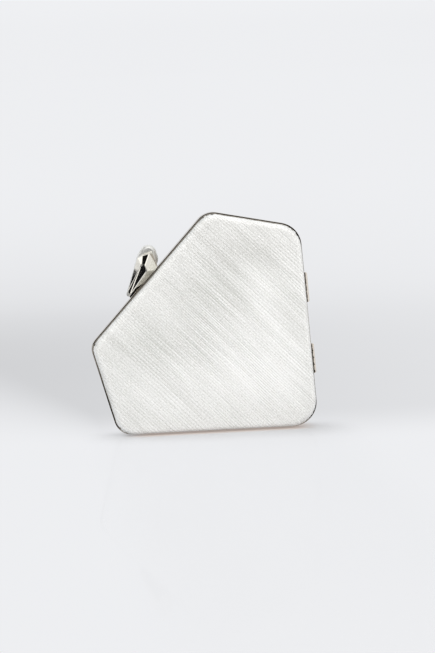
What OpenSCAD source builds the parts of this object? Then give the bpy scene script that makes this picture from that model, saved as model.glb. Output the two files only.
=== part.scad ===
// Minaudiere: a five-sided box clutch with two hinged half shells and a gem clasp.
// x runs to the right, y to the back and z up. The two halves meet at y = 0, and the
// origin is under the middle of the whole clutch, on the surface that it stands on.

/* [Outline seen from the front] */
// Length of the bottom edge between its sharp corners
base_len = 160.5; // [140:0.5:180]
// How far the left corner stands out beyond the bottom left corner
left_out = 19.6; // [14:0.2:26]
// Height of the left corner
left_height = 72.3; // [62:0.1:82]
// Place of the apex across, from the bottom left corner
apex_in = 77; // [68:0.5:86]
// Height of the apex
apex_height = 175.4; // [160:0.2:190]
// Place of the shoulder across, from the bottom left corner
shoulder_in = 151.6; // [140:0.2:160]
// Height of the shoulder
shoulder_height = 159.9; // [145:0.1:170]
// Corner radius of the frame at the bottom left
base_left_r = 14; // [10:0.5:20]
// Corner radius of the frame at the bottom right
base_right_r = 19; // [12:0.5:24]
// Corner radius of the frame at the shoulder
shoulder_r = 19; // [12:0.5:24]
// Corner radius of the frame at the apex
apex_r = 16; // [10:0.5:22]
// Corner radius of the frame at the left corner
left_r = 12; // [9:0.5:18]

/* [Depth and walls] */
// Depth of one half, from the parting plane to its face
half_depth = 21; // [18:0.5:28]
// Gap between the two frames when closed
rim_gap = 0.3; // [0.2:0.05:0.5]
// Depth of one frame
rim_depth = 5.5; // [5.3:0.1:7]
// Thickness of the frame's outer band
rim_band = 1.5; // [1.3:0.1:1.9]
// Thickness of the frame's web at the parting plane
rim_web = 1.8; // [1.6:0.1:2]
// Thickness of the frame's inner flange
rim_flange = 1; // [0.7:0.1:1.5]
// Thickness of the pleated fabric cover
cover_t = 0.8; // [0.7:0.1:1]
// Thickness of the foam under the cover
wadding_t = 1.2; // [0.8:0.1:2]
// Thickness of the moulded shell
shell_t = 2; // [1.8:0.1:2.4]
// Thickness of the lining tray
lining_t = 0.8; // [0.7:0.1:1]
// Gap between the layers, taken up by glue
seat_gap = 0.1; // [0.05:0.05:0.15]
// Rounding of the cover between its side and its face
edge_r = 3.5; // [2.5:0.5:5]
// How much rounder the covered corners are than the frame's
soft_corner = 3; // [1:0.5:4]

/* [Hinges] */
// Distance of the lower hinge's middle along the right edge from the bottom corner
lower_hinge_at = 53.3; // [48:0.1:60]
// Distance of the upper hinge's middle along the right edge from the bottom corner
upper_hinge_at = 110.6; // [100:0.1:116]
// Length of a hinge barrel
hinge_len = 22.6; // [20:0.2:26]
// Number of knuckles in a barrel
knuckles = 4; // [2:1:6]
// Gap between neighbouring knuckles
knuckle_gap = 0.15; // [0.1:0.05:0.25]
// Radius of a hinge barrel
barrel_r = 1.8; // [1.7:0.1:2]
// Radius of a hinge pin
hinge_pin_r = 0.9; // [0.7:0.1:1]
// Running clearance of the pins in their bores
pin_clear = 0.05; // [0.03:0.01:0.08]
// Distance of the hinge axis outside the frame
axis_out = 0.9; // [0.8:0.1:1.2]
// Thickness of a hinge leaf
leaf_t = 0.8; // [0.7:0.1:0.9]
// Radius of a pin's head
pin_head_r = 1.4; // [1.2:0.1:1.6]
// Thickness of a pin's head
pin_head_t = 0.5; // [0.3:0.1:0.8]
// Radius of a rivet
rivet_r = 0.8; // [0.6:0.1:0.9]
// Radius of a rivet's head
rivet_head_r = 1.3; // [1.1:0.1:1.5]
// Thickness of a rivet's closed end
rivet_head_t = 0.6; // [0.4:0.1:0.7]
// Distance between the two rivets of a leaf
rivet_pitch = 14; // [12:0.5:15]

/* [Clasp] */
// Length of the faceted gem along the slanting edge
gem_len = 41; // [36:0.5:46]
// Height of the faceted gem above the frame
gem_height = 16.5; // [14:0.5:20]
// Depth of the faceted gem in front of the parting plane
gem_depth = 11; // [9:0.5:13]
// Radius of the thick end of the smooth gem
bulb_r = 8.5; // [7.5:0.1:9]
// Radius of the smooth gem's shoulder
crown_r = 6.6; // [5.5:0.1:7]
// Radius of the thin end of the smooth gem
tail_r = 1.8; // [1.4:0.1:2.4]
// Tilt of the smooth gem that lets the hook go, in degrees
clasp_tilt = 10; // [8:1:11]
// Radius of the clasp pin
clasp_pin_r = 0.7; // [0.6:0.05:0.8]
// Radius of the rocker's barrel
rocker_r = 1.4; // [1.3:0.05:1.5]
// Length of the rocker's barrel
rocker_len = 11; // [9:0.5:11.5]
// Distance of the clasp pin behind the parting plane
pivot_back = 3; // [2.9:0.05:3.2]
// Width of the rocker's hook
hook_w = 7; // [5:0.5:8]
// Thickness of the rocker's arm
arm_t = 0.7; // [0.6:0.05:0.8]
// Thickness of the hook's nose
nose_t = 1.15; // [0.9:0.05:1.3]
// Clearance between the hook's nose and the keeper bar
hook_clear = 0.15; // [0.1:0.05:0.2]
// Width of the post that carries the smooth gem
post_w = 5; // [4:0.5:6]
// Thickness of that post
post_t = 1.6; // [1.2:0.1:1.8]
// Radius of the stud in the smooth gem
stud_r = 1.2; // [0.8:0.1:1.4]
// Height of the stud above the frame
stud_height = 7; // [5:0.5:8]
// Radius of the keeper bar
keeper_r = 0.5; // [0.4:0.05:0.55]
// Length of the pocket in both webs, along the edge
pocket_len = 16; // [15:0.5:18]
// Width of the leaf spring
spring_w = 1.2; // [0.9:0.1:1.3]
// Thickness of the leaf spring
spring_t = 0.25; // [0.15:0.05:0.3]
// Bow of the leaf spring
spring_bow = 0.2; // [0.1:0.05:0.25]
// Radius of a gem screw
screw_r = 0.7; // [0.6:0.05:0.75]
// Radius of a gem screw's head
screw_head_r = 1.3; // [1.1:0.1:1.5]
// Thickness of a gem screw's head
screw_head_t = 1; // [0.8:0.1:1.2]
// Height that a gem screw reaches above the frame
screw_reach = 4; // [3:0.5:4]

/* [Pocket] */
// Width of the slip pocket
slip_w = 96; // [80:1:110]
// Height of the slip pocket
slip_h = 58; // [45:1:66]
// Thickness of the slip pocket
slip_t = 0.6; // [0.4:0.1:1]
// Height of the slip pocket above the bottom edge
slip_from_base = 24; // [18:1:30]
// Rounding of the slip pocket's corners
slip_corner_r = 6; // [3:1:9]

/* [Hidden] */

$fn = 48;
corner_steps = 10;
round_steps = 4;
overrun = 1;
press_gap = 0.02;

fabric_colour = [0.91, 0.91, 0.89];
metal_colour = [0.78, 0.78, 0.77];
steel_colour = [0.62, 0.63, 0.65];
shell_colour = [0.30, 0.30, 0.31];
satin_colour = [0.80, 0.79, 0.76];
foam_colour = [0.95, 0.94, 0.90];

// Layers of a half, from the outside in: insets from the frame's outline and depths
parting = rim_gap / 2;
cover_in = rim_band + seat_gap;
shell_in = cover_in + cover_t + seat_gap;
lining_in = shell_in + shell_t + seat_gap;
flange_in = lining_in + lining_t + seat_gap;
shell_face = half_depth - cover_t - wadding_t - 2 * seat_gap;
lining_face = shell_face - shell_t - seat_gap;
web_end = parting + rim_web;
rivet_room = 0.4;
sheet_start = web_end + rivet_head_t + rivet_room;

// Sharp corners of the outline, counter-clockwise from the bottom left, and their radii
sharp = [[0, 0], [base_len, 0], [shoulder_in, shoulder_height], [apex_in, apex_height],
    [-left_out, left_height]];
corner_r = [base_left_r, base_right_r, shoulder_r, apex_r, left_r];
sides = len(sharp);

function unit(v) = v / norm(v);
function next(i) = (i + 1) % sides;
function last(i) = (i + sides - 1) % sides;
function heading(i) = atan2(sharp[next(i)].y - sharp[i].y, sharp[next(i)].x - sharp[i].x);
function turn(i) = (heading(i) - heading(last(i)) + 360) % 360;

// Centre of a corner's arc: it lies on the bisector, r away from both edges
function centre(i, r) =
    let (a = unit(sharp[last(i)] - sharp[i]), b = unit(sharp[next(i)] - sharp[i]))
    sharp[i] + unit(a + b) * r / cos(turn(i) / 2);

// Middle of the whole clutch across: the left corner's arc and the lower hinge's barrel
right_up = unit(sharp[2] - sharp[1]);
right_out = [right_up.y, -right_up.x];
left_most = centre(4, left_r).x - left_r;
hinge_most = sharp[1].x + right_up.x * (lower_hinge_at - hinge_len / 2)
    + right_out.x * (axis_out + barrel_r);
right_most = max(centre(1, base_right_r).x + base_right_r, hinge_most);
middle = (left_most + right_most) / 2;

// The outline moved in by an inset, its corners rounder by soft
function outline(inset, soft = 0) = [
    for (i = [0 : sides - 1], k = [0 : corner_steps])
        let (r = corner_r[i] + soft, a = heading(last(i)) - 90 + turn(i) * k / corner_steps)
        centre(i, r) + (r - inset) * [cos(a), sin(a)] - [middle, 0]];

// One plate of the front half, from depth d0 to depth d1 in front of the parting plane
module plate(d0, d1) {
    translate([0, -d0, 0]) rotate([90, 0, 0]) linear_extrude(d1 - d0) children();
}

// A closed band of the front half between two insets
module band(d0, d1, in0, in1, soft0 = 0, soft1 = 0) {
    plate(d0, d1) difference() {
        polygon(outline(in0, soft0));
        polygon(outline(in1, soft1));
    }
}

// A tray lofted through rings that follow the outline: stations are [inset, depth] from
// the middle of the inner face, round the mouth, to the middle of the outer face
module tray(stations) {
    n = sides * (corner_steps + 1);
    m = len(stations);
    points = [for (s = stations, p = outline(s[0], soft_corner)) [p.x, -s[1], p.y]];
    walls = [for (k = [0 : m - 2], i = [0 : n - 1])
        let (j = (i + 1) % n, a = k * n + i, b = k * n + j, c = a + n, d = b + n)
        each [[a, c, d], [a, d, b]]];
    inner_face = [for (i = [0 : n - 1]) i];
    outer_face = [for (i = [0 : n - 1]) m * n - 1 - i];
    polyhedron(points, concat([inner_face], walls, [outer_face]));
}

// A quarter turn in a tray's section: arc of radius r about [inset, depth]
function arc_stations(inset, depth, r, from, to) = [
    for (k = [0 : round_steps])
        let (a = from + (to - from) * k / round_steps)
        [inset - r * cos(a), depth + r * sin(a)]];

// Place along an edge: local x runs from corner i to corner j, y to the back and z outward
module on_edge(i, j, at) {
    along = unit(sharp[j] - sharp[i]);
    p = sharp[i] + along * at - [middle, 0];
    translate([p.x, 0, p.y]) rotate([0, -atan2(along.y, along.x), 0]) children();
}

// Middle of the slanting edge, where the clasp sits
module on_slant() {
    on_edge(4, 3, norm(sharp[3] - sharp[4]) / 2) children();
}

// Middle of a hinge on the right edge, local x running down
module on_hinge(at) {
    on_edge(2, 1, norm(sharp[2] - sharp[1]) - at) children();
}

module box(from, to) {
    translate(from) cube(to - from);
}

// A rod along local x
module rod(from, to, r) {
    translate([from, 0, 0]) rotate([0, 90, 0]) cylinder(h = to - from, r = r);
}

// A rod along local y, forward from depth d0 to depth d1, tapering from r0 to r1
module stub(d0, d1, r0, r1) {
    translate([0, -d0, 0]) rotate([90, 0, 0]) cylinder(h = d1 - d0, r1 = r0, r2 = r1);
}

// Frames
module half_rim() {
    difference() {
        band(parting, rim_depth, 0, flange_in + rim_flange, 0, soft_corner);
        band(web_end, rim_depth + overrun, rim_band, flange_in, 0, soft_corner);
        for (at = [lower_hinge_at, upper_hinge_at]) on_hinge(at) hinge_seat();
    }
}

// Room in a frame for a hinge: the barrel's notch, the leaf's recess and its rivet holes
knuckle_clear = 0.4;
notch_clear = 0.4;
notch_r = barrel_r + knuckle_clear;
notch_half = hinge_len / 2 + seat_gap + pin_head_t + notch_clear;
leaf_end = flange_in - 2 * seat_gap;
rivet_down = (leaf_end + notch_r - axis_out) / 2;

module hinge_seat() {
    translate([0, 0, axis_out]) rod(-notch_half, notch_half, notch_r);
    box([-hinge_len / 2 - seat_gap, -parting - leaf_t - seat_gap, -leaf_end - seat_gap],
        [hinge_len / 2 + seat_gap, 0, axis_out]);
    at_rivets() stub(0, rim_depth, rivet_r + press_gap, rivet_r + press_gap);
}

module at_rivets() {
    for (x = [-rivet_pitch / 2, rivet_pitch / 2]) translate([x, 0, -rivet_down]) children();
}

// Clasp's room in a frame, in the clasp's own frame
pocket_ledge = 0.2;
pocket_low = flange_in - pocket_ledge;
pocket_high = rim_band + pocket_ledge;
keeper_seat = 2.4;
keeper_end = pocket_len / 2 + keeper_seat;
keeper_back = parting + rim_web / 2;
keeper_down = flange_in - keeper_r - seat_gap;
screw_places = [-6.2, 6.5];
screw_back = web_end + screw_head_r + seat_gap;

module pocket() {
    box([-pocket_len / 2, -web_end - overrun, -pocket_low], [pocket_len / 2, 0, -pocket_high]);
}

module front_rim() {
    color(metal_colour) difference() {
        half_rim();
        on_slant() {
            pocket();
            translate([0, -keeper_back, -keeper_down])
                rod(-keeper_end - press_gap, keeper_end + press_gap, keeper_r + press_gap);
            at_screws() translate([0, 0, -rim_band - overrun])
                cylinder(h = rim_band + 2 * overrun, r = screw_r + press_gap);
        }
    }
}

// The slot lets the post of the smooth gem through and gives it room to tilt
post_clear = 0.3;
slot_side = 0.4;
pivot_down = rim_band + rocker_r + post_clear + seat_gap * 2;
post_front = pivot_back - post_t / 2;
post_back = pivot_back + post_t / 2;
slot_back = post_back + pivot_down * sin(clasp_tilt) + post_clear;

module rear_rim() {
    color(metal_colour) difference() {
        mirror([0, 1, 0]) half_rim();
        on_slant() {
            mirror([0, 1, 0]) pocket();
            box([-post_w / 2 - slot_side, post_front - post_clear, -pocket_high - overrun],
                [post_w / 2 + slot_side, slot_back, overrun]);
        }
    }
}

// Shells, covers, foam and lining. The clasp's gap is cut from every layer in the channel
gap_half = 13;
gap_margin = 0.3;

module clasp_gap() {
    on_slant() box([-gap_half, -rim_depth + gap_margin, -flange_in - rim_flange],
        [gap_half, 0, overrun]);
}

module half_cover() {
    inner_r = edge_r - cover_t;
    rise = half_depth - edge_r;
    difference() {
        tray(concat(
            arc_stations(cover_in + edge_r, rise, inner_r, 90, 0),
            [[cover_in + cover_t, sheet_start], [cover_in, sheet_start]],
            arc_stations(cover_in + edge_r, rise, edge_r, 0, 90)));
        clasp_gap();
    }
}

module half_shell() {
    outer_r = edge_r - cover_t - seat_gap;
    difference() {
        tray(concat(
            [[shell_in + shell_t, shell_face - shell_t], [shell_in + shell_t, sheet_start],
             [shell_in, sheet_start]],
            arc_stations(shell_in + outer_r, shell_face - outer_r, outer_r, 0, 90)));
        clasp_gap();
    }
}

module half_lining() {
    difference() {
        tray([[lining_in + lining_t, lining_face - lining_t], [lining_in + lining_t, sheet_start],
            [lining_in, sheet_start], [lining_in, lining_face]]);
        clasp_gap();
    }
}

module half_wadding() {
    plate(shell_face + seat_gap, half_depth - cover_t - seat_gap)
        polygon(outline(cover_in + edge_r, soft_corner));
}

module front_cover() {
    color(fabric_colour) half_cover();
}

module rear_cover() {
    color(fabric_colour) mirror([0, 1, 0]) half_cover();
}

module front_shell() {
    color(shell_colour) half_shell();
}

module rear_shell() {
    color(shell_colour) mirror([0, 1, 0]) half_shell();
}

module front_lining() {
    color(satin_colour) half_lining();
}

module rear_lining() {
    color(satin_colour) mirror([0, 1, 0]) half_lining();
}

module front_wadding() {
    color(foam_colour) half_wadding();
}

module rear_wadding() {
    color(foam_colour) mirror([0, 1, 0]) half_wadding();
}

// Slip pocket, glued to the face of the rear lining
module slip_pocket() {
    back = lining_face - lining_t - seat_gap;
    color(satin_colour) translate([base_len / 2 - middle, back, slip_from_base + slip_h / 2])
        rotate([90, 0, 0]) linear_extrude(slip_t) {
            square([slip_w, slip_h - 2 * slip_corner_r], center = true);
            square([slip_w - 2 * slip_corner_r, slip_h], center = true);
            for (x = [-1, 1], z = [-1, 1])
                translate([x * (slip_w / 2 - slip_corner_r), z * (slip_h / 2 - slip_corner_r)])
                    circle(slip_corner_r);
        }
}

// Hinges. A leaf takes every second knuckle; the rear leaf is the front one mirrored
knuckle_len = hinge_len / knuckles;
rivet_sink = leaf_t / 2;

module leaf(first) {
    difference() {
        union() {
            box([-hinge_len / 2, -parting - leaf_t, -leaf_end],
                [hinge_len / 2, -parting, axis_out - notch_r]);
            for (k = [first : 2 : knuckles - 1]) knuckle(k);
        }
        translate([0, 0, axis_out])
            rod(-hinge_len / 2 - overrun, hinge_len / 2 + overrun, hinge_pin_r + pin_clear);
        at_rivets() {
            stub(0, rim_depth, rivet_r + press_gap, rivet_r + press_gap);
            stub(parting, parting + rivet_sink, rivet_head_r + press_gap, rivet_r + press_gap);
        }
    }
}

module knuckle(k) {
    from = -hinge_len / 2 + k * knuckle_len + knuckle_gap / 2;
    to = from + knuckle_len - knuckle_gap;
    translate([0, 0, axis_out]) rod(from, to, barrel_r);
    box([from, -parting - leaf_t, -leaf_end], [to, -parting, axis_out]);
}

module hinge_pin() {
    far = hinge_len / 2 + seat_gap;
    translate([0, 0, axis_out]) {
        rod(-far - pin_head_t, far + pin_head_t, hinge_pin_r);
        rod(-far - pin_head_t, -far, pin_head_r);
        rod(far, far + pin_head_t, pin_head_r);
    }
}

module half_rivets() {
    for (at = [lower_hinge_at, upper_hinge_at]) on_hinge(at) at_rivets() {
        stub(parting, web_end + rivet_head_t, rivet_r, rivet_r);
        stub(parting, parting + rivet_sink, rivet_head_r, rivet_r);
        stub(web_end + press_gap, web_end + rivet_head_t, rivet_head_r, rivet_head_r);
    }
}

module lower_hinge_front_leaf() {
    color(metal_colour) on_hinge(lower_hinge_at) leaf(0);
}

module upper_hinge_front_leaf() {
    color(metal_colour) on_hinge(upper_hinge_at) leaf(0);
}

module lower_hinge_rear_leaf() {
    color(metal_colour) on_hinge(lower_hinge_at) mirror([0, 1, 0]) leaf(1);
}

module upper_hinge_rear_leaf() {
    color(metal_colour) on_hinge(upper_hinge_at) mirror([0, 1, 0]) leaf(1);
}

module lower_hinge_pin() {
    color(steel_colour) on_hinge(lower_hinge_at) hinge_pin();
}

module upper_hinge_pin() {
    color(steel_colour) on_hinge(upper_hinge_at) hinge_pin();
}

module front_hinge_rivets() {
    color(steel_colour) half_rivets();
}

module rear_hinge_rivets() {
    color(steel_colour) mirror([0, 1, 0]) half_rivets();
}

// Faceted gem: its corners as shares of its length from the clasp's middle, of its depth
// from its back and of its height from the frame
gem_shares = [
    [0.159, 0, 1], [0.283, 0, 0.945], [0.468, 0, 0.697], [0.376, 0, 0.273], [0.293, 0, 0],
    [-0.512, 0, 0], [-0.444, 0, 0.297], [0.263, 0.281, 0.893], [0.379, 0.418, 0.718],
    [0.159, 0.909, 0.531], [0.099, 1, 0.293], [0.125, 0.727, 0.681], [-0.498, 0.182, 0.097],
    [0.21, 0.679, 0], [0.298, 0.467, 0], [-0.18, 0.409, 0]];

module at_screws() {
    for (x = screw_places) translate([x, -screw_back, 0]) children();
}

module front_gem() {
    n = len(gem_shares);
    points = [for (s = gem_shares)
        [s.x * gem_len, -parting - s.y * gem_depth, press_gap + s.z * (gem_height - press_gap)]];
    color(metal_colour) on_slant() difference() {
        hull() polyhedron(points, [for (i = [0 : n - 3]) [i, i + 1, i + 2]]);
        at_screws() cylinder(h = screw_reach + press_gap, r = screw_r + press_gap);
    }
}

module gem_screws() {
    seat = -rim_band - press_gap;
    slot_half = screw_r / 4;
    color(steel_colour) on_slant() at_screws() {
        translate([0, 0, seat]) cylinder(h = screw_reach - seat, r = screw_r);
        difference() {
            translate([0, 0, seat - screw_head_t]) cylinder(h = screw_head_t, r = screw_head_r);
            box([-screw_head_r, -slot_half, seat - screw_head_t],
                [screw_head_r, slot_half, seat - screw_head_t / 2]);
        }
    }
}

module clasp_keeper() {
    color(steel_colour) on_slant() translate([0, -keeper_back, -keeper_down])
        rod(-keeper_end, keeper_end, keeper_r);
}

// The rocker: barrel on the pin, arm forward over the keeper, nose down behind it, post and
// stud up to the smooth gem
arm_rise = 0.5;
nose_gap = 0.2;
stem_clear = 0.1;
gem_lift = 1.1;
stem_top = gem_lift - stem_clear;
arm_top = arm_rise - pivot_down;
nose_start = keeper_back + keeper_r + nose_gap;
nose_low = keeper_r + hook_clear - keeper_down;

module at_pivot() {
    translate([0, pivot_back, -pivot_down]) children();
}

module clasp_rocker() {
    color(steel_colour) on_slant() difference() {
        union() {
            at_pivot() rod(-rocker_len / 2, rocker_len / 2, rocker_r);
            box([-hook_w / 2, -nose_start - nose_t, arm_top - arm_t],
                [hook_w / 2, pivot_back, arm_top]);
            box([-hook_w / 2, -nose_start - nose_t, nose_low],
                [hook_w / 2, -nose_start, arm_top]);
            box([-post_w / 2, post_front, -pivot_down], [post_w / 2, post_back, stem_top]);
            translate([0, pivot_back, stem_top - stem_clear])
                cylinder(h = stud_height - stem_top + stem_clear, r = stud_r);
        }
        at_pivot() rod(-rocker_len, rocker_len, clasp_pin_r + pin_clear);
    }
}

// Smooth gem: a drop from a thick end with a shoulder to a thin one, rounded in front as well
// and flat only where it meets the parting plane. Its ends are squashed balls: the shares are
// of their radius, for half their depth and for how far their middle lies behind that plane
bulb_x = 11.7;
crown_x = 15.4;
crown_height = 12.2;
tail_x = -19.5;
drop_depth_share = 0.7;
drop_back_share = 0.55;

module drop_end(x, z, r) {
    translate([x, parting + drop_back_share * r, z]) scale([1, drop_depth_share, 1]) sphere(r);
}

module rear_gem() {
    color(metal_colour) on_slant() difference() {
        intersection() {
            hull() {
                drop_end(bulb_x, bulb_r + gem_lift, bulb_r);
                drop_end(crown_x, crown_height, crown_r);
                drop_end(tail_x, tail_r + gem_lift, tail_r);
            }
            box([-gem_len, parting, 0], [gem_len, 2 * bulb_r, 3 * bulb_r]);
        }
        translate([0, pivot_back, 0]) cylinder(h = stud_height + press_gap, r = stud_r + press_gap);
    }
}

// Bracket cheeks beside the rocker's barrel, and the pin through them
cheek_gap = 0.4;
cheek_from = rocker_len / 2 + cheek_gap;
cheek_to = pocket_len / 2 - seat_gap;

module clasp_bracket() {
    color(steel_colour) on_slant() difference() {
        for (side = [0, 1]) mirror([side, 0, 0])
            box([cheek_from, web_end + seat_gap, -flange_in + seat_gap],
                [cheek_to, rim_depth - gap_margin, -rim_band - seat_gap]);
        at_pivot() rod(-pocket_len, pocket_len, clasp_pin_r + press_gap);
    }
}

module clasp_pin() {
    color(steel_colour) on_slant() at_pivot() rod(-cheek_to, cheek_to, clasp_pin_r);
}

// Leaf spring under the outer band, bowed down over the rocker's arm
spring_front = parting + 2 * seat_gap;
spring_half = pocket_len / 2 - seat_gap;
spring_foot = 2;

module clasp_spring() {
    top = -pocket_high - seat_gap / 2;
    upper = [[-spring_half, top], [spring_foot - spring_half, top], [-hook_w / 2, top - spring_bow],
        [hook_w / 2, top - spring_bow], [spring_half - spring_foot, top], [spring_half, top]];
    lower = [for (i = [len(upper) - 1 : -1 : 0]) upper[i] - [0, spring_t]];
    color(steel_colour) on_slant() translate([0, spring_front + spring_w, 0]) rotate([90, 0, 0])
        linear_extrude(spring_w) polygon(concat(upper, lower));
}

rear_shell();
rear_wadding();
rear_cover();
rear_rim();
rear_lining();
slip_pocket();
upper_hinge_rear_leaf();
lower_hinge_rear_leaf();
upper_hinge_pin();
lower_hinge_pin();
rear_hinge_rivets();
clasp_bracket();
clasp_pin();
clasp_spring();
front_shell();
front_wadding();
front_cover();
front_rim();
front_lining();
upper_hinge_front_leaf();
lower_hinge_front_leaf();
front_hinge_rivets();
front_gem();
gem_screws();
clasp_keeper();
clasp_rocker();
rear_gem();
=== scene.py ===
"""Five-sided box clutch: pleated metallic covers in polished frames, with a gem clasp.

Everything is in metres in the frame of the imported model: x to the right, y to the back, z up.
"""

import math

import bmesh
import bpy
import numpy as np
from bpy.props import FloatProperty, FloatVectorProperty, IntProperty, PointerProperty
from mathutils import Matrix, Vector


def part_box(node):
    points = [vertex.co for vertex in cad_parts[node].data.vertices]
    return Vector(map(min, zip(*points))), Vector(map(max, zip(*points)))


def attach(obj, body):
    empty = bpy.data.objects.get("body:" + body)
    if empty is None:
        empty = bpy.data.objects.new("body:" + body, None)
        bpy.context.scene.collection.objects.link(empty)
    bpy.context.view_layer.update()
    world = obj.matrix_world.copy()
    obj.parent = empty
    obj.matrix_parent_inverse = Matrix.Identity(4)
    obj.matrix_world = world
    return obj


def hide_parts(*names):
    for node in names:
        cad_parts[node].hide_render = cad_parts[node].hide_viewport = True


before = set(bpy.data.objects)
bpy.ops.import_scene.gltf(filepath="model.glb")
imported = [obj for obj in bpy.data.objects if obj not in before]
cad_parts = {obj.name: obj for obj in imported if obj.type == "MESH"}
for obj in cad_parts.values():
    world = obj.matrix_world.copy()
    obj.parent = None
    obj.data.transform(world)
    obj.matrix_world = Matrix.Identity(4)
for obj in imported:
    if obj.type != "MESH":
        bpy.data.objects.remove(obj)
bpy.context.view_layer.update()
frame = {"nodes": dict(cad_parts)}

bl_info = {
    "name": "Box clutch",
    "version": (1, 0, 0),
    "blender": (4, 5, 0),
    "location": "3D View > Sidebar > Clutch",
    "description": "Builds the pleated covers, frames, lining and clasp of a box clutch",
    "category": "Add Mesh",
}

MM = 0.001


def length(name, description, millimetres):
    """A size that a user may change, kept in metres."""
    return FloatProperty(
        name=name, description=description, default=millimetres * MM, min=0, subtype="DISTANCE",
        unit="LENGTH", precision=5)


def share(name, description, value):
    """A share between nothing and all."""
    return FloatProperty(
        name=name, description=description, default=value, min=0, max=1, subtype="FACTOR")


def angle(name, description, degrees):
    """An angle, kept in radians."""
    return FloatProperty(
        name=name, description=description, default=math.radians(degrees), subtype="ANGLE",
        unit="ROTATION")


def colour(name, description, value):
    """A linear colour."""
    return FloatVectorProperty(
        name=name, description=description, default=value, min=0, max=1, size=3,
        subtype="COLOR")


class ClutchOutline(bpy.types.PropertyGroup):
    """The five-sided outline, its corners as on the bottom left one."""
    base_length: length("Bottom", "Length of the bottom edge between its sharp corners", 160.5)
    left_out: length("Left corner out", "How far the left corner stands out", 19.6)
    left_height: length("Left corner height", "Height of the left corner", 72.3)
    apex_across: length("Apex across", "Place of the apex across", 77)
    apex_height: length("Apex height", "Height of the apex", 175.4)
    shoulder_across: length("Shoulder across", "Place of the shoulder across", 151.6)
    shoulder_height: length("Shoulder height", "Height of the shoulder", 159.9)
    base_left_radius: length("Bottom left radius", "Corner radius at the bottom left", 14)
    base_right_radius: length("Bottom right radius", "Corner radius at the bottom right", 19)
    shoulder_radius: length("Shoulder radius", "Corner radius at the shoulder", 19)
    apex_radius: length("Apex radius", "Corner radius at the apex", 16)
    left_radius: length("Left radius", "Corner radius at the left corner", 12)
    soft_corner: length("Soft corner", "How much rounder the covered corners are", 3)


class ClutchLayers(bpy.types.PropertyGroup):
    """Depths and walls of one half."""
    half_depth: length("Half depth", "Depth of one half from the parting plane", 21)
    parting: length("Parting", "Half of the gap between the two frames", 0.15)
    rim_depth: length("Frame depth", "Depth of one frame", 5.5)
    rim_band: length("Frame band", "Thickness of the frame's outer band", 1.5)
    rim_web: length("Frame web", "Thickness of the frame at the parting plane", 1.8)
    rim_flange: length("Frame flange", "Thickness of the frame's inner flange", 1)
    rim_round: length("Frame rounding", "Rounding of the frame's outer front edge", 0.25)
    rim_soft: length("Frame edges", "Rounding of the frame's other edges", 0.14)
    cover_thick: length("Cover", "Thickness of the pleated cover", 0.8)
    pad_thick: length("Pad", "Thickness of the foam under the cover", 1.2)
    shell_thick: length("Shell", "Thickness of the moulded shell", 2)
    lining_thick: length("Lining", "Thickness of the lining", 0.8)
    layer_gap: length("Layer gap", "Gap between the layers", 0.1)
    edge_round: length("Cover rounding", "Rounding of the cover between side and face", 3.5)
    lining_round: length("Lining rounding", "Rounding of the lining at its floor", 2.6)
    sheet_start: length("Sheet start", "Depth at which the sheets begin in the channel", 2.95)
    crown: length("Crown", "How far the padded face rises in its middle", 0.9)
    side_puff: length("Side puff", "How far the covered side wall swells", 0.25)
    sag: length("Sag", "How much further it swells underneath", 0.45)


class ClutchCloth(bpy.types.PropertyGroup):
    """The pleated cloth."""
    pleat_angle: angle("Pleat angle", "Fall of the pleats from left to right", 45.3)
    pleat_least: length("Narrowest pleat", "Width of the narrowest pleats", 1.5)
    pleat_most: length("Widest pleat", "Width of the widest pleats", 3.1)
    pleat_relief: length("Pleat relief", "Depth of the deepest valleys", 0.26)
    across_step: length("Step across", "Spacing of the mesh across the pleats", 0.46)
    along_step: length("Step along", "Spacing of the mesh along the pleats", 2.1)
    weave_pitch: length("Weave", "Spacing of the threads across the pleats", 1.1)
    seed: IntProperty(name="Seed", description="Seed of the pleats' widths", default=11)
    # The light and dark threads are the ends of the cloth's shade: the crests are painted lighter
    # as highlight and the valleys darker as shade
    light: colour("Light thread", "Colour of the cloth on the crests", (0.985, 0.99, 0.984))
    dark: colour("Dark thread", "Colour of the cloth in the valleys", (0.50, 0.505, 0.475))
    metallic: share("Metallic", "Share of metal thread in the cloth", 0.2)


class ClutchMetal(bpy.types.PropertyGroup):
    """Polished metal, steel, board, foam and satin."""
    nickel: colour("Nickel", "Colour of the polished gems", (0.90, 0.87, 0.79))
    smooth: colour("Smooth gem", "Colour of the smooth gem behind", (0.79, 0.79, 0.765))
    frame: colour("Frame metal", "Colour of the polished frames", (0.44, 0.40, 0.35))
    hinge: colour("Hinge metal", "Colour of the hinge leaves", (0.86, 0.79, 0.70))
    steel: colour("Steel", "Colour of pins, rivets and clasp parts", (0.55, 0.55, 0.56))
    board: colour("Board", "Colour of the moulded shells", (0.11, 0.11, 0.115))
    foam: colour("Foam", "Colour of the foam under the covers", (0.84, 0.82, 0.76))
    satin: colour("Satin", "Colour of the lining", (0.68, 0.66, 0.62))
    facet_edge: length("Facet edge", "Width of the polished edges between facets", 0.46)
    bevel: length("Bevel", "Rounding of the smooth gem's edge", 0.45)


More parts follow.
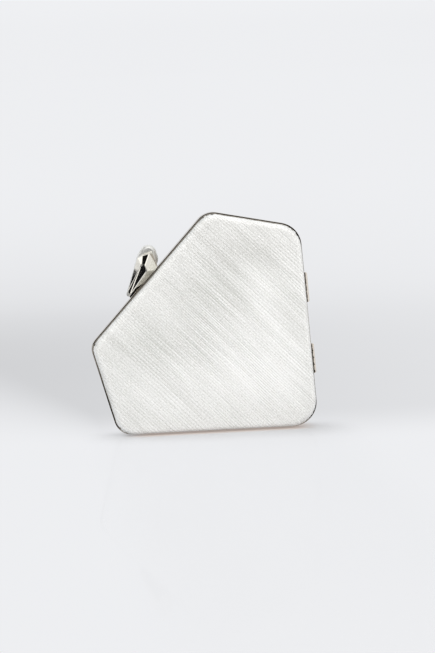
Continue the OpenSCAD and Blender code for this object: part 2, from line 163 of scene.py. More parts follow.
class ClutchStudio(bpy.types.PropertyGroup):
    """Camera, lamps and backdrop."""
    lens: FloatProperty(name="Lens", description="Focal length in mm", default=151.88)
    distance: length("Distance", "Distance of the camera from its aim", 2200)
    azimuth: angle("Azimuth", "How far the camera stands to the left of the face", 4.2)
    elevation: angle("Elevation", "How far the camera stands above the face", 4.8)
    roll: angle("Roll", "Roll of the camera", -2.487)
    floor_colour: colour("Floor", "Colour of the floor", (0.654, 0.661, 0.677))
    sweep_colour: colour("Sweep", "Tone of the backdrop behind", (0.860, 0.868, 0.889))
    # The floor's painted shade behind the object keeps this share of its brightness
    painted_dim_share: share("Haze", "Brightness left in the dim band behind", 0.73)
    gloss: share("Gloss", "Share of the floor's mirror image", 0.035)
    key_power: FloatProperty(name="Key", description="Power of the key light", default=29.5)
    fill_power: FloatProperty(name="Fill", description="Power of the fill light", default=17.5)
    top_power: FloatProperty(name="Top", description="Power of the top light", default=17)
    rim_power: FloatProperty(name="Rim", description="Power of the rim light", default=6)
    warm: colour("Warm light", "Colour of the lights in front", (1.0, 0.972, 0.94))
    cool: colour("Cool light", "Colour of the lights above and behind", (0.93, 0.965, 1.0))
    world_level: FloatProperty(name="World", description="Level of the room's light", default=0.44)


GROUPS = {
    "clutch_outline": ClutchOutline,
    "clutch_layers": ClutchLayers,
    "clutch_cloth": ClutchCloth,
    "clutch_metal": ClutchMetal,
    "clutch_studio": ClutchStudio,
}


# The outline, as in the part's source

def unit(v):
    """A vector of length 1."""
    v = np.asarray(v, float)
    return v / np.linalg.norm(v)


# How softly a face's depth turns from one edge to the next, and how far in its crown rises
EDGE_BLUR, CROWN_RUN = 12 * MM, 16 * MM


class Outline:
    """A convex outline with rounded corners, in (x, z), and what is measured from it."""

    def __init__(self, sizes):
        s = sizes
        self.sharp = np.array([
            (0, 0), (s.base_length, 0), (s.shoulder_across, s.shoulder_height),
            (s.apex_across, s.apex_height), (-s.left_out, s.left_height)])
        self.radii = np.array([
            s.base_left_radius, s.base_right_radius, s.shoulder_radius, s.apex_radius,
            s.left_radius])
        self.soft_corner = s.soft_corner
        self.sides = len(self.sharp)
        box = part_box("front_rim")
        # The frame's own left end sets the place across, as it does in the source
        self.sharp[:, 0] += box[0].x - (self.centre(4, 0) - self.radii[4])[0]
        edges = np.roll(self.sharp, -1, axis=0) - self.sharp
        self.headings = edges / np.linalg.norm(edges, axis=1)[:, None]
        self.normals = np.stack([self.headings[:, 1], -self.headings[:, 0]], axis=1)

    def centre(self, i, soft):
        """Centre of a corner's arc."""
        before = unit(self.sharp[i - 1] - self.sharp[i])
        after = unit(self.sharp[(i + 1) % self.sides] - self.sharp[i])
        half = math.acos(float(before @ after)) / 2
        return self.sharp[i] + unit(before + after) * (self.radii[i] + soft) / math.sin(half)

    def ring(self, inset, soft, steps):
        """Points round the outline moved in by an inset, its corners rounder by soft."""
        points = []
        for i in range(self.sides):
            before, after = self.headings[i - 1], self.headings[i]
            start = math.atan2(*self.normals[i - 1][::-1])
            turn = math.acos(float(np.clip(before @ after, -1, 1)))
            for k in range(steps + 1):
                a = start + turn * k / steps
                points.append(self.centre(i, soft) + (self.radii[i] + soft - inset)
                              * np.array([math.cos(a), math.sin(a)]))
        return np.array(points)

    def reach(self, p, inset):
        """How far each point stands past the line of each edge, moved in by an inset."""
        return np.einsum("nij,ij->ni", p[:, None, :] - self.sharp[None], self.normals) + inset

    def project(self, p, inset):
        """For each point: its distance outside the inset soft outline, the way out, and how
        far it stands in a corner, from 0 on a straight edge to 1 at a corner's middle."""
        soft = self.soft_corner
        reach = self.reach(p, inset)
        nearest = reach.argmax(axis=1)
        out = reach.max(axis=1)
        way = self.normals[nearest].copy()
        corner = np.zeros(len(p))
        for i in range(self.sides):
            d = p - self.centre(i, soft)
            far = np.linalg.norm(d, axis=1)
            past, short = d @ self.headings[i - 1], -(d @ self.headings[i])
            inside = (past > 0) & (short > 0) & (far > 1e-9)
            out[inside] = far[inside] - (self.radii[i] + soft - inset)
            way[inside] = d[inside] / far[inside, None]
            both = np.arctan2(past[inside], short[inside]) / (math.pi / 2)
            corner[inside] = np.sin(np.pi * np.clip(both, 0, 1))
        return out, way, corner

    def rise(self, p, inset):
        """The share of a padded face's crown at each point, from 0 at its edge to 1."""
        reach = np.clip(self.reach(p, inset), -1, 1)
        inside = -EDGE_BLUR * np.log(np.exp(reach / EDGE_BLUR).sum(axis=1))
        return 1 - np.exp(-np.clip(inside, 0, None) / CROWN_RUN)

    def place(self, i, j, at):
        """The frame of a place along an edge: x from corner i to j, y back and z outward."""
        along = unit(self.sharp[j] - self.sharp[i])
        p = self.sharp[i] + along * at
        m = Matrix.Identity(4)
        m.col[0][:3] = (along[0], 0, along[1])
        m.col[2][:3] = (-along[1], 0, along[0])
        m.translation = (p[0], 0, p[1])
        return m

    def slant(self):
        """The middle of the slanting edge, where the clasp sits."""
        return self.place(4, 3, np.linalg.norm(self.sharp[3] - self.sharp[4]) / 2)


# Shader nodes as Python expressions

class Socket:
    """A shader socket on which Python's operators add Math nodes."""

    def __init__(self, tree, socket):
        self.tree, self.socket = tree, socket

    def maths(self, operation, *values):
        return self.tree.add("Math", {"operation": operation},
                             {i: v for i, v in enumerate((self, *values))})

    def __add__(self, other):
        return self.maths("ADD", other)

    def __sub__(self, other):
        return self.maths("SUBTRACT", other)

    def __mul__(self, other):
        return self.maths("MULTIPLY", other)

    def __truediv__(self, other):
        return self.maths("DIVIDE", other)

    def __pow__(self, other):
        return self.maths("POWER", other)

    def __rsub__(self, other):
        return self.tree.add("Math", {"operation": "SUBTRACT"}, {0: other, 1: self})

    __radd__, __rmul__ = __add__, __mul__

    def clamped(self):
        """The value held between 0 and 1."""
        return self.tree.add("Clamp", {}, {"Value": self})

    def between(self, low, high):
        """A smooth step from 0 at low to 1 at high."""
        return self.tree.add("MapRange", {"interpolation_type": "SMOOTHSTEP"},
                             {"Value": self, "From Min": low, "From Max": high})

    def within(self, start, end):
        """1 between two soft edges, each from low to high, and 0 outside them."""
        return self.between(*start) * (1 - self.between(*end))


class Tree:
    """The nodes of a material or of the world."""

    def __init__(self, owner):
        owner.use_nodes = True
        self.tree = owner.node_tree
        self.tree.nodes.clear()

    def add(self, kind, settings=None, sockets=None, out=0):
        """A node of a type, with its settings, then its sockets' values or links."""
        node = self.tree.nodes.new("ShaderNode" + kind)
        for name, value in (settings or {}).items():
            setattr(node, name, value)
        for name, value in (sockets or {}).items():
            if isinstance(value, Socket):
                self.tree.links.new(value.socket, node.inputs[name])
            else:
                node.inputs[name].default_value = value
        return Socket(self, node.outputs[out]) if len(node.outputs) else node

    def attribute(self, name, vector=False):
        """A value, or a vector, kept on the mesh."""
        return self.add("Attribute", {"attribute_name": name}, out=1 if vector else 2)

    def parts(self, vector):
        """The three numbers of a vector."""
        node = self.add("SeparateXYZ", {}, {"Vector": vector}).socket.node
        return [Socket(self, output) for output in node.outputs]

    def mix(self, factor, a, b):
        """A colour between a and b."""
        return self.add("Mix", {"data_type": "RGBA"}, {
            0: factor, 6: a if isinstance(a, Socket) else (*a, 1),
            7: b if isinstance(b, Socket) else (*b, 1)}, out=2)

    def toned(self, amount, tint, factor):
        """A tint, going to so many times itself as the amount grows."""
        return self.mix(amount, tuple(tint), tuple(factor * c for c in tint))

    def place(self):
        """The place on the object, in metres."""
        return self.add("TexCoord", out=3)

    def noise(self, vector, scale, detail, roughness):
        """Noise between 0 and 1 at so many cells in a metre."""
        return self.add("TexNoise", {}, {
            "Vector": vector, "Scale": scale, "Detail": detail, "Roughness": roughness})

    def stretched(self, vector, scale):
        """A vector scaled by its own number on each axis."""
        return self.add("VectorMath", {"operation": "MULTIPLY"}, {0: vector, 1: scale})

    def bump(self, height, distance, strength):
        """A normal bent by a height."""
        return self.add("Bump", {}, {
            "Height": height, "Distance": distance, "Strength": strength})

    def surface(self, **sockets):
        """The Principled shader on the material's output."""
        shader = self.add("BsdfPrincipled", {}, {
            name.replace("_", " "): (*value, 1) if isinstance(value, tuple) else value
            for name, value in sockets.items()})
        self.add("OutputMaterial", {}, {"Surface": shader})


def material(name):
    """A new material and its nodes."""
    made = bpy.data.materials.new(name)
    return made, Tree(made)


def once(make):
    """Keeps what a material's function made, so that pieces share it."""
    kept = {}

    def made(*args):
        if args not in kept:
            kept[args] = make(*args)
        return kept[args]
    return made


@once
def pleated_cloth():
    """Metallic cloth in fine pleats: a painted highlight on every pleat's crest and painted shade
    in its valley, over the pleats' real relief, each pleat with its own tone and strength, and a
    speckled, crinkled weave."""
    look = bpy.context.scene.clutch_cloth
    made, t = material("pleated_metallic_cloth")
    cloth, pleat = t.attribute("cloth", True), t.attribute("pleat")
    # The valley attribute darkens deep valleys and gathered corners as painted shade, and the tone
    # attribute holds broad spots of painted light and shade
    valley, tone = t.attribute("valley"), t.attribute("tone")
    along = t.parts(cloth)[0]
    number = pleat.maths("FLOOR")
    # The line is 1 in a pleat's valley and 0 on its crest: in the colour it paints shade in the
    # valleys and a highlight on the crests
    line = (pleat.maths("FRACT") * 2 - 1).maths("ABSOLUTE").between(0.1, 1.0)

    def by_pleat(step, pace):
        """A value of each pleat's own that changes slowly along it."""
        place = t.add("CombineXYZ", {}, {0: number * step, 1: along * pace})
        return t.noise(place, 1, 1, 0.5)

    strength = by_pleat(7.31, 18).between(0.36, 0.60)
    # Here and there a pleat is creased once more along its middle: a crease painted as light and
    # shade, with no relief of its own
    second = ((pleat * 2).maths("FRACT") * 2 - 1).maths("ABSOLUTE") - 0.5
    second = second * by_pleat(3.77, 11).between(0.42, 0.60)
    own = by_pleat(5.17, 12) - 0.5
    calm = t.noise(t.stretched(cloth, (15, 28, 1)), 1, 2, 0.5).between(0.36, 0.62)
    lines = t.attribute("lines") * (0.4 + calm * 0.6)
    # The streaks along the pleats are painted sheen; the broad patches are partly painted sheen
    # and partly the cloth's uneven crush
    patches = t.noise(t.stretched(cloth, (24, 60, 1)), 1, 3, 0.55) - 0.5
    streaks = t.noise(t.stretched(cloth, (11, 170, 1)), 1, 2, 0.5) - 0.5
    crinkle = t.noise(cloth, 820, 2, 0.7) - 0.5
    flecks = t.noise(t.stretched(cloth, (1100, 1900, 1)), 1, 2, 0.6) - 0.5
    weave = (along * (2 * math.pi / look.weave_pitch)).maths("SINE")
    # Along the slanting edge the cloth is painted darker, as shade, where it turns down over the
    # shell
    painted_fold_shade = t.attribute("edge").between(2.8 * MM, 4.2 * MM) * t.attribute("slanted")
    # Where the cloth is darker it is more crinkled
    rough_cloth = 1.42 + (tone + patches * 0.4) * 0.6
    # The shade adds up the pleats' painted highlights and shade, painted sheen, the cloth's own
    # speckle and weave, broad spots of painted light and shade, and the painted shade of the
    # slanted fold
    shade = (0.365 + (line - 0.5) * (0.09 + strength * 0.42) * lines + own * lines * 0.6
             + second * lines * 0.34 + patches * 0.4 + streaks * 0.34
             + (crinkle + flecks * 0.7 + weave * 0.04) * rough_cloth
             + valley * lines * 0.2 + tone + painted_fold_shade * 0.3)
    base = t.mix(shade.clamped(), tuple(look.light), tuple(look.dark))
    rough = (0.42 + line * 0.12 + crinkle * 0.3).clamped()
    height = (1 - line) * (0.25 + strength * 0.5) + crinkle * 0.5 + weave * 0.06
    t.surface(Base_Color=base, Metallic=look.metallic, Roughness=rough,
              Normal=t.bump(height, 0.12 * MM, 0.7),
              Sheen_Weight=0.25, Sheen_Roughness=0.4)
    return made


@once
def polished(name, tint, roughness, waves, metallic=1.0):
    """Polished plated metal, a little uneven, with faint swirls, scratches and duller spots."""
    made, t = material(name)
    place = t.place()
    broad = t.noise(place, 95, 1, 0.4)
    swirls = t.noise(place, 160, 3, 0.6)
    scratch = t.noise(t.stretched(place, (2600, 90, 2600)), 1, 2, 0.6)
    dull = (swirls.between(0.45, 0.75) * 0.5 + scratch.between(0.58, 0.72) * 0.5).clamped()
    base = t.toned(dull * 0.5, tint, 0.86)
    t.surface(Base_Color=base, Metallic=metallic, Roughness=roughness + dull * 0.08,
              Normal=t.bump(broad + swirls * 0.04, waves, 1.0))
    return made


@once
def brushed_steel():
    """Machined steel of the small inner parts."""
    made, t = material("brushed_steel_parts")
    place = t.place()
    grain = t.noise(t.stretched(place, (300, 4200, 4200)), 1, 3, 0.6)
    stain = t.noise(place, 420, 3, 0.6)
    tint = bpy.context.scene.clutch_metal.steel
    base = t.toned(grain * 0.35 + stain * 0.3, tint, 0.7)
    t.surface(Base_Color=base, Metallic=1.0, Roughness=0.24 + grain * 0.22,
              Normal=t.bump(grain, 0.02 * MM, 0.5))
    return made


@once
def moulded_board():
    """Dark moulded fibre board of the shells."""
    made, t = material("moulded_fibre_board")
    place = t.place()
    fibre = t.noise(place, 1300, 4, 0.7)
    cloud = t.noise(place, 60, 3, 0.5)
    tint = bpy.context.scene.clutch_metal.board
    base = t.toned((fibre * 0.6 + cloud * 0.5).clamped(), tint, 1.9)
    t.surface(Base_Color=base, Roughness=0.62 + fibre * 0.25,
              Normal=t.bump(fibre, 0.06 * MM, 0.6))
    return made


@once
def open_foam():
    """Open-celled foam of the pads."""
    made, t = material("open_cell_foam")
    place = t.place()
    cells = t.add("TexVoronoi", {"feature": "F1"}, {"Vector": place, "Scale": 1500})
    cloud = t.noise(place, 90, 3, 0.5)
    tint = bpy.context.scene.clutch_metal.foam
    pores = 1 - cells.between(0.15, 0.55)
    base = t.toned((pores * 0.5 + cloud * 0.25).clamped(), tint, 0.72)
    t.surface(Base_Color=base, Roughness=0.95, Normal=t.bump(pores * -1, 0.2 * MM, 0.8))
    return made


@once
def lining_satin():
    """Silver-grey satin: long floats along the weave, a soft sheen and faint creases, darkened by
    painted shade.
    """
    made, t = material("lining_satin")
    cloth, painted_fold_shade = t.attribute("cloth", True), t.attribute("valley")
    floats = t.noise(t.stretched(cloth, (260, 3600, 1)), 1, 2, 0.6)
    ribs = t.noise(t.stretched(cloth, (40, 900, 1)), 1, 2, 0.5)
    cloud = t.noise(cloth, 35, 3, 0.5)
    tint = bpy.context.scene.clutch_metal.satin
    shade = (floats * 0.35 + ribs * 0.25 + cloud * 0.25 + painted_fold_shade * 0.45).clamped()
    base = t.toned(shade, tint, 0.66)
    t.surface(Base_Color=base, Roughness=(0.34 + ribs * 0.16 + painted_fold_shade * 0.2).clamped(),
              Normal=t.bump(floats * 0.5 + ribs * 0.5, 0.05 * MM, 0.5),
              Sheen_Weight=0.35, Sheen_Roughness=0.3)
    return made


@once
def thread():
    """Twisted sewing thread."""
    made, t = material("sewing_thread")
    place = t.place()
    twist = t.add("TexWave", {"wave_type": "BANDS", "bands_direction": "DIAGONAL"}, {
        "Vector": place, "Scale": 1500, "Distortion": 0.5})
    tint = tuple(0.82 * c for c in bpy.context.scene.clutch_metal.satin)
    base = t.toned(twist * 0.5, tint, 0.7)
    t.surface(Base_Color=base, Roughness=0.6, Normal=t.bump(twist, 0.05 * MM, 0.6))
    return made


# Meshes

# Points closer than this are one, and this many steps turn a corner of a sheet's outline
WELD, CORNER_STEPS = 1e-7, 8
HALVES = ("front", "rear")


def linked(name, data):
    """A new object in the scene."""
    made = bpy.data.objects.new(name, data)
    bpy.context.scene.collection.objects.link(made)
    return made


def mesh_object(name, vertices, faces, smooth_angle=None):
    """A new object from points and faces, its normals outward."""
    mesh = bpy.data.meshes.new(name)
    mesh.from_pydata([tuple(map(float, v)) for v in vertices], [], faces)
    made = linked(name, mesh)
    tidy(made, smooth_angle)
    return made


def tidy(made, smooth_angle=None, weld=0.0):
    """Outward normals and smooth shading, sharp only past an angle in degrees."""
    b = bmesh.new()
    b.from_mesh(made.data)
    if weld:
        bmesh.ops.remove_doubles(b, verts=b.verts, dist=weld)
    bmesh.ops.recalc_face_normals(b, faces=b.faces)
    limit = math.radians(smooth_angle) if smooth_angle else math.pi
    for face in b.faces:
        face.smooth = True
    for edge in b.edges:
        edge.smooth = len(edge.link_faces) == 2 and edge.calc_face_angle(math.pi) < limit
    b.to_mesh(made.data)
    b.free()


def dress(piece, body, slot_name, look, *nodes):
    """Gives a piece its material and body, and hides the CAD nodes that it stands for; the slot
    name is not used.
    """
    piece.data.materials.clear()
    piece.data.materials.append(look)
    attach(piece, body)
    if nodes:
        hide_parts(*nodes)
    return piece


def keep_node(name, look):
    """A carried-over CAD node gets its material."""
    node = frame["nodes"][name]
    node.data.materials.clear()
    node.data.materials.append(look)


def applied(made, smooth_angle=35):
    """The object with its modifiers applied to its mesh."""
    graph = bpy.context.evaluated_depsgraph_get()
    mesh = bpy.data.meshes.new_from_object(made.evaluated_get(graph))
    made.modifiers.clear()
    made.data = mesh
    tidy(made, smooth_angle, WELD)
    return made


def copied(node, name, bevel, flat_angle=1.0, smooth_angle=40, bevel_angle=25, facet=0.0,
           base=None, weld=1e-6):
    """A CAD node's shape as a new object, its facets joined and its edges rounded, but for
    those with both ends in its base. Faces larger than the facet area stay flat."""
    made = linked(name, frame["nodes"][node].data.copy())
    b = bmesh.new()
    b.from_mesh(made.data)
    bmesh.ops.remove_doubles(b, verts=b.verts, dist=weld)
    bmesh.ops.dissolve_limit(b, angle_limit=math.radians(flat_angle), verts=b.verts,
                             edges=b.edges)
    weight = b.edges.layers.float.new("bevel_weight_edge")
    for edge in b.edges:
        turned = edge.calc_face_angle(0) > math.radians(bevel_angle)
        edge[weight] = turned and not (base and all(base(v.co) for v in edge.verts))
    b.to_mesh(made.data)
    b.free()
    rounding = made.modifiers.new("rounding", "BEVEL")
    rounding.width = bevel
    rounding.segments = 3
    rounding.limit_method = "WEIGHT"
    rounding.use_clamp_overlap = not facet
    applied(made, smooth_angle)
    if facet:
        for polygon in made.data.polygons:
            polygon.use_smooth = polygon.area < facet
    return made


def attribute(piece, name, values):
    """Stores a number, or a vector, on each point for the shader."""
    vector = np.ndim(values) == 2
    made = piece.data.attributes.new(name, "FLOAT_VECTOR" if vector else "FLOAT", "POINT")
    made.data.foreach_set("vector" if vector else "value",
                          np.asarray(values, np.float32).ravel())


def swept(outline, profile, steps=14):
    """A closed band: a closed profile of (inset, depth, soft) carried round the outline."""
    rings = [outline.ring(inset, soft, steps) for inset, _, soft in profile]
    n, m = len(rings[0]), len(profile)
    points = [(p[0], -profile[k][1], p[1]) for k in range(m) for p in rings[k]]
    faces = [(k * n + i, k * n + (i + 1) % n, (k + 1) % m * n + (i + 1) % n,
              (k + 1) % m * n + i) for k in range(m) for i in range(n)]
    return points, faces


def filleted(corners, steps=5):
    """A closed profile with rounded corners: each corner is (inset, depth, soft, radius)."""
    out = []
    count = len(corners)
    for i, (x, y, soft, r) in enumerate(corners):
        p = np.array([x, y])
        a = unit(np.array(corners[i - 1][:2]) - p)
        b = unit(np.array(corners[(i + 1) % count][:2]) - p)
        half = math.acos(float(np.clip(a @ b, -1, 1))) / 2
        back = r / math.tan(half)
        c = p + unit(a + b) * r / math.sin(half)
        start, end = p + a * back - c, p + b * back - c
        first = math.atan2(start[1], start[0])
        turn = (math.atan2(end[1], end[0]) - first + math.pi) % (2 * math.pi) - math.pi
        for k in range(steps + 1):
            w = first + turn * k / steps
            out.append((c[0] + r * math.cos(w), c[1] + r * math.sin(w), soft))
    return out


def solid(name, build):
    """A new object whose mesh a function makes on an empty bmesh."""
    mesh = bpy.data.meshes.new(name)
    b = bmesh.new()
    build(b)
    b.to_mesh(mesh)
    b.free()
    return linked(name, mesh)


def add_box(b, low, high, matrix):
    """A box between two corners."""
    low, high = Vector(low), Vector(high)
    made = bmesh.ops.create_cube(b, size=1)["verts"]
    bmesh.ops.transform(b, verts=made, matrix=matrix @ Matrix.Translation((low + high) / 2)
                        @ Matrix.Diagonal((*(high - low), 1)))


def add_rod(b, start, end, radius, matrix, segments=32):
    """A cylinder between two points."""
    start, end = Vector(start), Vector(end)
    along = end - start
    turn = Vector((0, 0, 1)).rotation_difference(along).to_matrix().to_4x4()
    made = bmesh.ops.create_cone(b, cap_ends=True, segments=segments, radius1=radius,
                                 radius2=radius, depth=along.length)["verts"]
    bmesh.ops.transform(b, verts=made, matrix=matrix @ Matrix.Translation((start + end) / 2)
                        @ turn)


def cut(made, cutter):
    """Takes a cutter away from an object, and then removes the cutter."""
    taking = made.modifiers.new("cut", "BOOLEAN")
    taking.operation = "DIFFERENCE"
    taking.solver = "EXACT"
    taking.object = cutter
    applied(made)
    mesh = cutter.data
    bpy.data.objects.remove(cutter)
    bpy.data.meshes.remove(mesh)
    return made


def on_half(made, half):
    """A piece made for the front half, turned over where it is the rear half's."""
    if half == "rear":
        made.data.transform(Matrix.Diagonal((1, -1, 1, 1)))
        made.data.flip_normals()
    return made


# The covers, linings and pads: sheets folded over the outline

class Waves:
    """Smooth, gentle and repeatable irregularity: a sum of a few long waves."""

    def __init__(self, rng, count, shortest, longest):
        self.lengths = rng.uniform(shortest, longest, count)
        self.turns = rng.uniform(0, 2 * math.pi, count)
        self.phases = rng.uniform(0, 2 * math.pi, count)

    def at(self, u, v):
        """From -1 to 1, mostly near 0."""
        total = 0
        for wave, turn, phase in zip(self.lengths, self.turns, self.phases):
            total = total + np.sin(
                2 * math.pi * (u * math.cos(turn) + v * math.sin(turn)) / wave + phase)
        return total / len(self.lengths)


class Fold:
    """Folds a flat sheet over a half: flat on its face, round its edge and down its side."""

    # A little more than the sheet's reach is laid out round its face
    SPARE = 1.05

    def __init__(self, outline, inset, face, radius, end):
        self.outline, self.inset, self.face, self.radius = outline, inset, face, radius
        self.curl = radius * math.pi / 2
        self.reach = self.curl + face - radius - end

    def span(self, way):
        """The least and the most that the flat sheet reaches along a way."""
        along = self.outline.ring(self.inset, self.outline.soft_corner, CORNER_STEPS) @ way
        margin = self.reach * self.SPARE
        return along.min() - margin, along.max() + margin

    def trimmed(self, flat):
        """The flat points with those past the sheet's end drawn back to it, then of each its
        distance outside the face, its way out, its share of a corner and whether it was in."""
        out, way, corner = self.outline.project(flat, self.inset)
        past = np.clip(out - self.reach, 0, None)
        return flat - way * past[:, None], out - past, way, corner, out < self.reach

    def place(self, flat, out, way, lift, crown, end, swell=0.0):
        """Places in space for flat points, lift above the sheet's own surface. The face is
        pushed out by its crown and the side by its swell, and none goes deeper than its end."""
        r = self.radius
        past = np.clip(out, 0, None)
        a = np.minimum(past / r, math.pi / 2)
        down = np.clip(past - self.curl, 0, None)
        base = flat - way * past[:, None]
        level = np.maximum(self.face - r + r * np.cos(a) - down, end)
        side = r * np.sin(a) + swell
        rise = crown * self.outline.rise(flat, self.inset)
        normal = np.stack([way[:, 0] * np.sin(a), -np.cos(a), way[:, 1] * np.sin(a)], 1)
        at = np.stack([base[:, 0] + way[:, 0] * side, -(level + rise),
                       base[:, 1] + way[:, 1] * side], 1)
        return at + normal * lift[:, None]


def grid_cells(keep):
    """The cells of a grid whose points are kept in part, as corner numbers."""
    rows, columns = keep.shape
    number = np.arange(rows * columns).reshape(rows, columns)
    some = keep[:-1, :-1] | keep[1:, :-1] | keep[:-1, 1:] | keep[1:, 1:]
    return np.stack([number[:-1, :-1], number[1:, :-1], number[1:, 1:], number[:-1, 1:]],
                    axis=-1)[some]


def closed_sheet(name, outer, inner, cells):
    """A closed sheet from the places of its two faces and the cells of its grid."""
    used, renumbered = np.unique(cells, return_inverse=True)
    cells = renumbered.reshape(cells.shape)
    count = len(used)
    edges = np.concatenate([cells[:, [k, (k + 1) % 4]] for k in range(4)])
    ordered = np.sort(edges, axis=1)
    _, first, uses = np.unique(ordered, axis=0, return_index=True, return_counts=True)
    rim = edges[first[uses == 1]]
    faces = np.concatenate([
        cells, cells[:, ::-1] + count,
        np.stack([rim[:, 1], rim[:, 0], rim[:, 0] + count, rim[:, 1] + count], 1)])
    points = np.concatenate([outer[used], inner[used]])
    made = mesh_object(name, points, [tuple(map(int, f)) for f in faces], 60)
    return made, used


def on_sheet(made, used, outer=1, inner=1, **values):
    """Stores a sheet's values on its points, each times a share on either face."""
    for name, value in values.items():
        attribute(made, name, np.concatenate([outer * value[used], inner * value[used]]))


def cloth_place(along, across):
    """Places on the flat cloth, for its weave."""
    return np.stack([along, across, np.zeros(len(along))], 1)


def face_inset(layers):
    """Inset at which a cover's flat face ends."""
    return layers.rim_band + layers.layer_gap + layers.edge_round


# At the clasp the sheets end just inside the channel: half the length of that stretch, and how
# far behind the frame's front edge they end there. Then how far under the slanting edge the
# stretch reaches, for the cover and for the lining
CLASP_SIDE, CLASP_STOP = 13.4 * MM, 0.3 * MM
COVER_BELOW, LINING_BELOW = 9 * MM, 14 * MM


def channel_end(outline, flat, below):
    """The depth in the channel at which a sheet ends, at each flat point."""
    layers = bpy.context.scene.clutch_layers
    slant = np.array(outline.slant().inverted())
    along = flat @ slant[0, [0, 2]] + slant[0, 3]
    height = flat @ slant[2, [0, 2]] + slant[2, 3]
    near_clasp = (np.abs(along) < CLASP_SIDE) & (height > -below)
    return np.where(near_clasp, layers.rim_depth - CLASP_STOP, layers.sheet_start)


def corner_tucks(way, count, uneven, pace):
    """Gathers of a sheet round its corners, from 0 between them to 1 on them."""
    bearing = np.arctan2(way[:, 1], way[:, 0])
    return 0.5 + 0.5 * np.sin(bearing * count + uneven * np.sin(bearing * pace))


# Waves of the sheets: how many, and their shortest and longest length in metres
BEND_WAVES, DRIFT_WAVES = (7, 0.09, 0.32), (6, 0.03, 0.10)
RIPPLE_WAVES, BUMP_WAVES = (9, 0.012, 0.045), (8, 0.005, 0.03)
LINING_WAVES = (8, 0.018, 0.06)
# Heights of the pleats' bends and of the cloth's ripples in mm, and of the corners' gathers
BEND, RIPPLE, GATHER = 0.9, 0.07, 0.32 * MM
# How far above the frame the pleats' relief starts, over what height it grows to the full, and
# over what way down the side the gathers grow
RELIEF_START, RELIEF_RUN, GATHER_RUN = 0.6 * MM, 2.5 * MM, 8 * MM
# The pleats are finest at the middle: how far that reaches above and below it
FINE_ABOVE, FINE_BELOW = 20 * MM, 40 * MM


def pleat_rows(rng, low, high, look, middle):
    """Places of the mesh's lines across the pleats: how high each stands in its pleat, from
    0 in a valley to 1 on a crest, and which pleat it is in. They are finest in the middle."""
    places, heights, pleats = [], [], []
    at, pleat = low, 0
    while at < high:
        fine = math.exp(-((at - middle) / (FINE_ABOVE if at > middle else FINE_BELOW)) ** 2)
        more = (look.pleat_most - look.pleat_least) * (1 - 0.75 * fine)
        wide = look.pleat_least + more * rng.beta(1.5, 1.8)
        steps = max(4, round(wide / look.across_step))
        for k in range(steps):
            places.append(at + wide * k / steps)
            heights.append(math.sin(math.pi * k / steps) ** 0.7)
            pleats.append(pleat + k / steps)
        at += wide
        pleat += 1
    return np.array(places), np.array(heights), np.array(pleats), pleat + 2


def valley_depths(rng, s, t, heights, pleats, count):
    """How deep each valley is pressed, line by line and slowly changing along the line."""
    weight = 0.25 + 0.75 * rng.beta(1.3, 1.4, count)
    pace = rng.uniform(0.035, 0.12, count)
    phase = rng.uniform(0, 2 * math.pi, count)
    nearest = np.round(pleats).astype(int)
    strength = weight[nearest] * (0.62 + 0.38 * np.sin(
        2 * math.pi * s / pace[nearest] + phase[nearest]))
    drift = Waves(rng, *DRIFT_WAVES).at(s, t)
    strength = np.clip(strength * (1 + 0.8 * drift), 0.04, 1)
    return ((1 - heights) * strength).ravel()


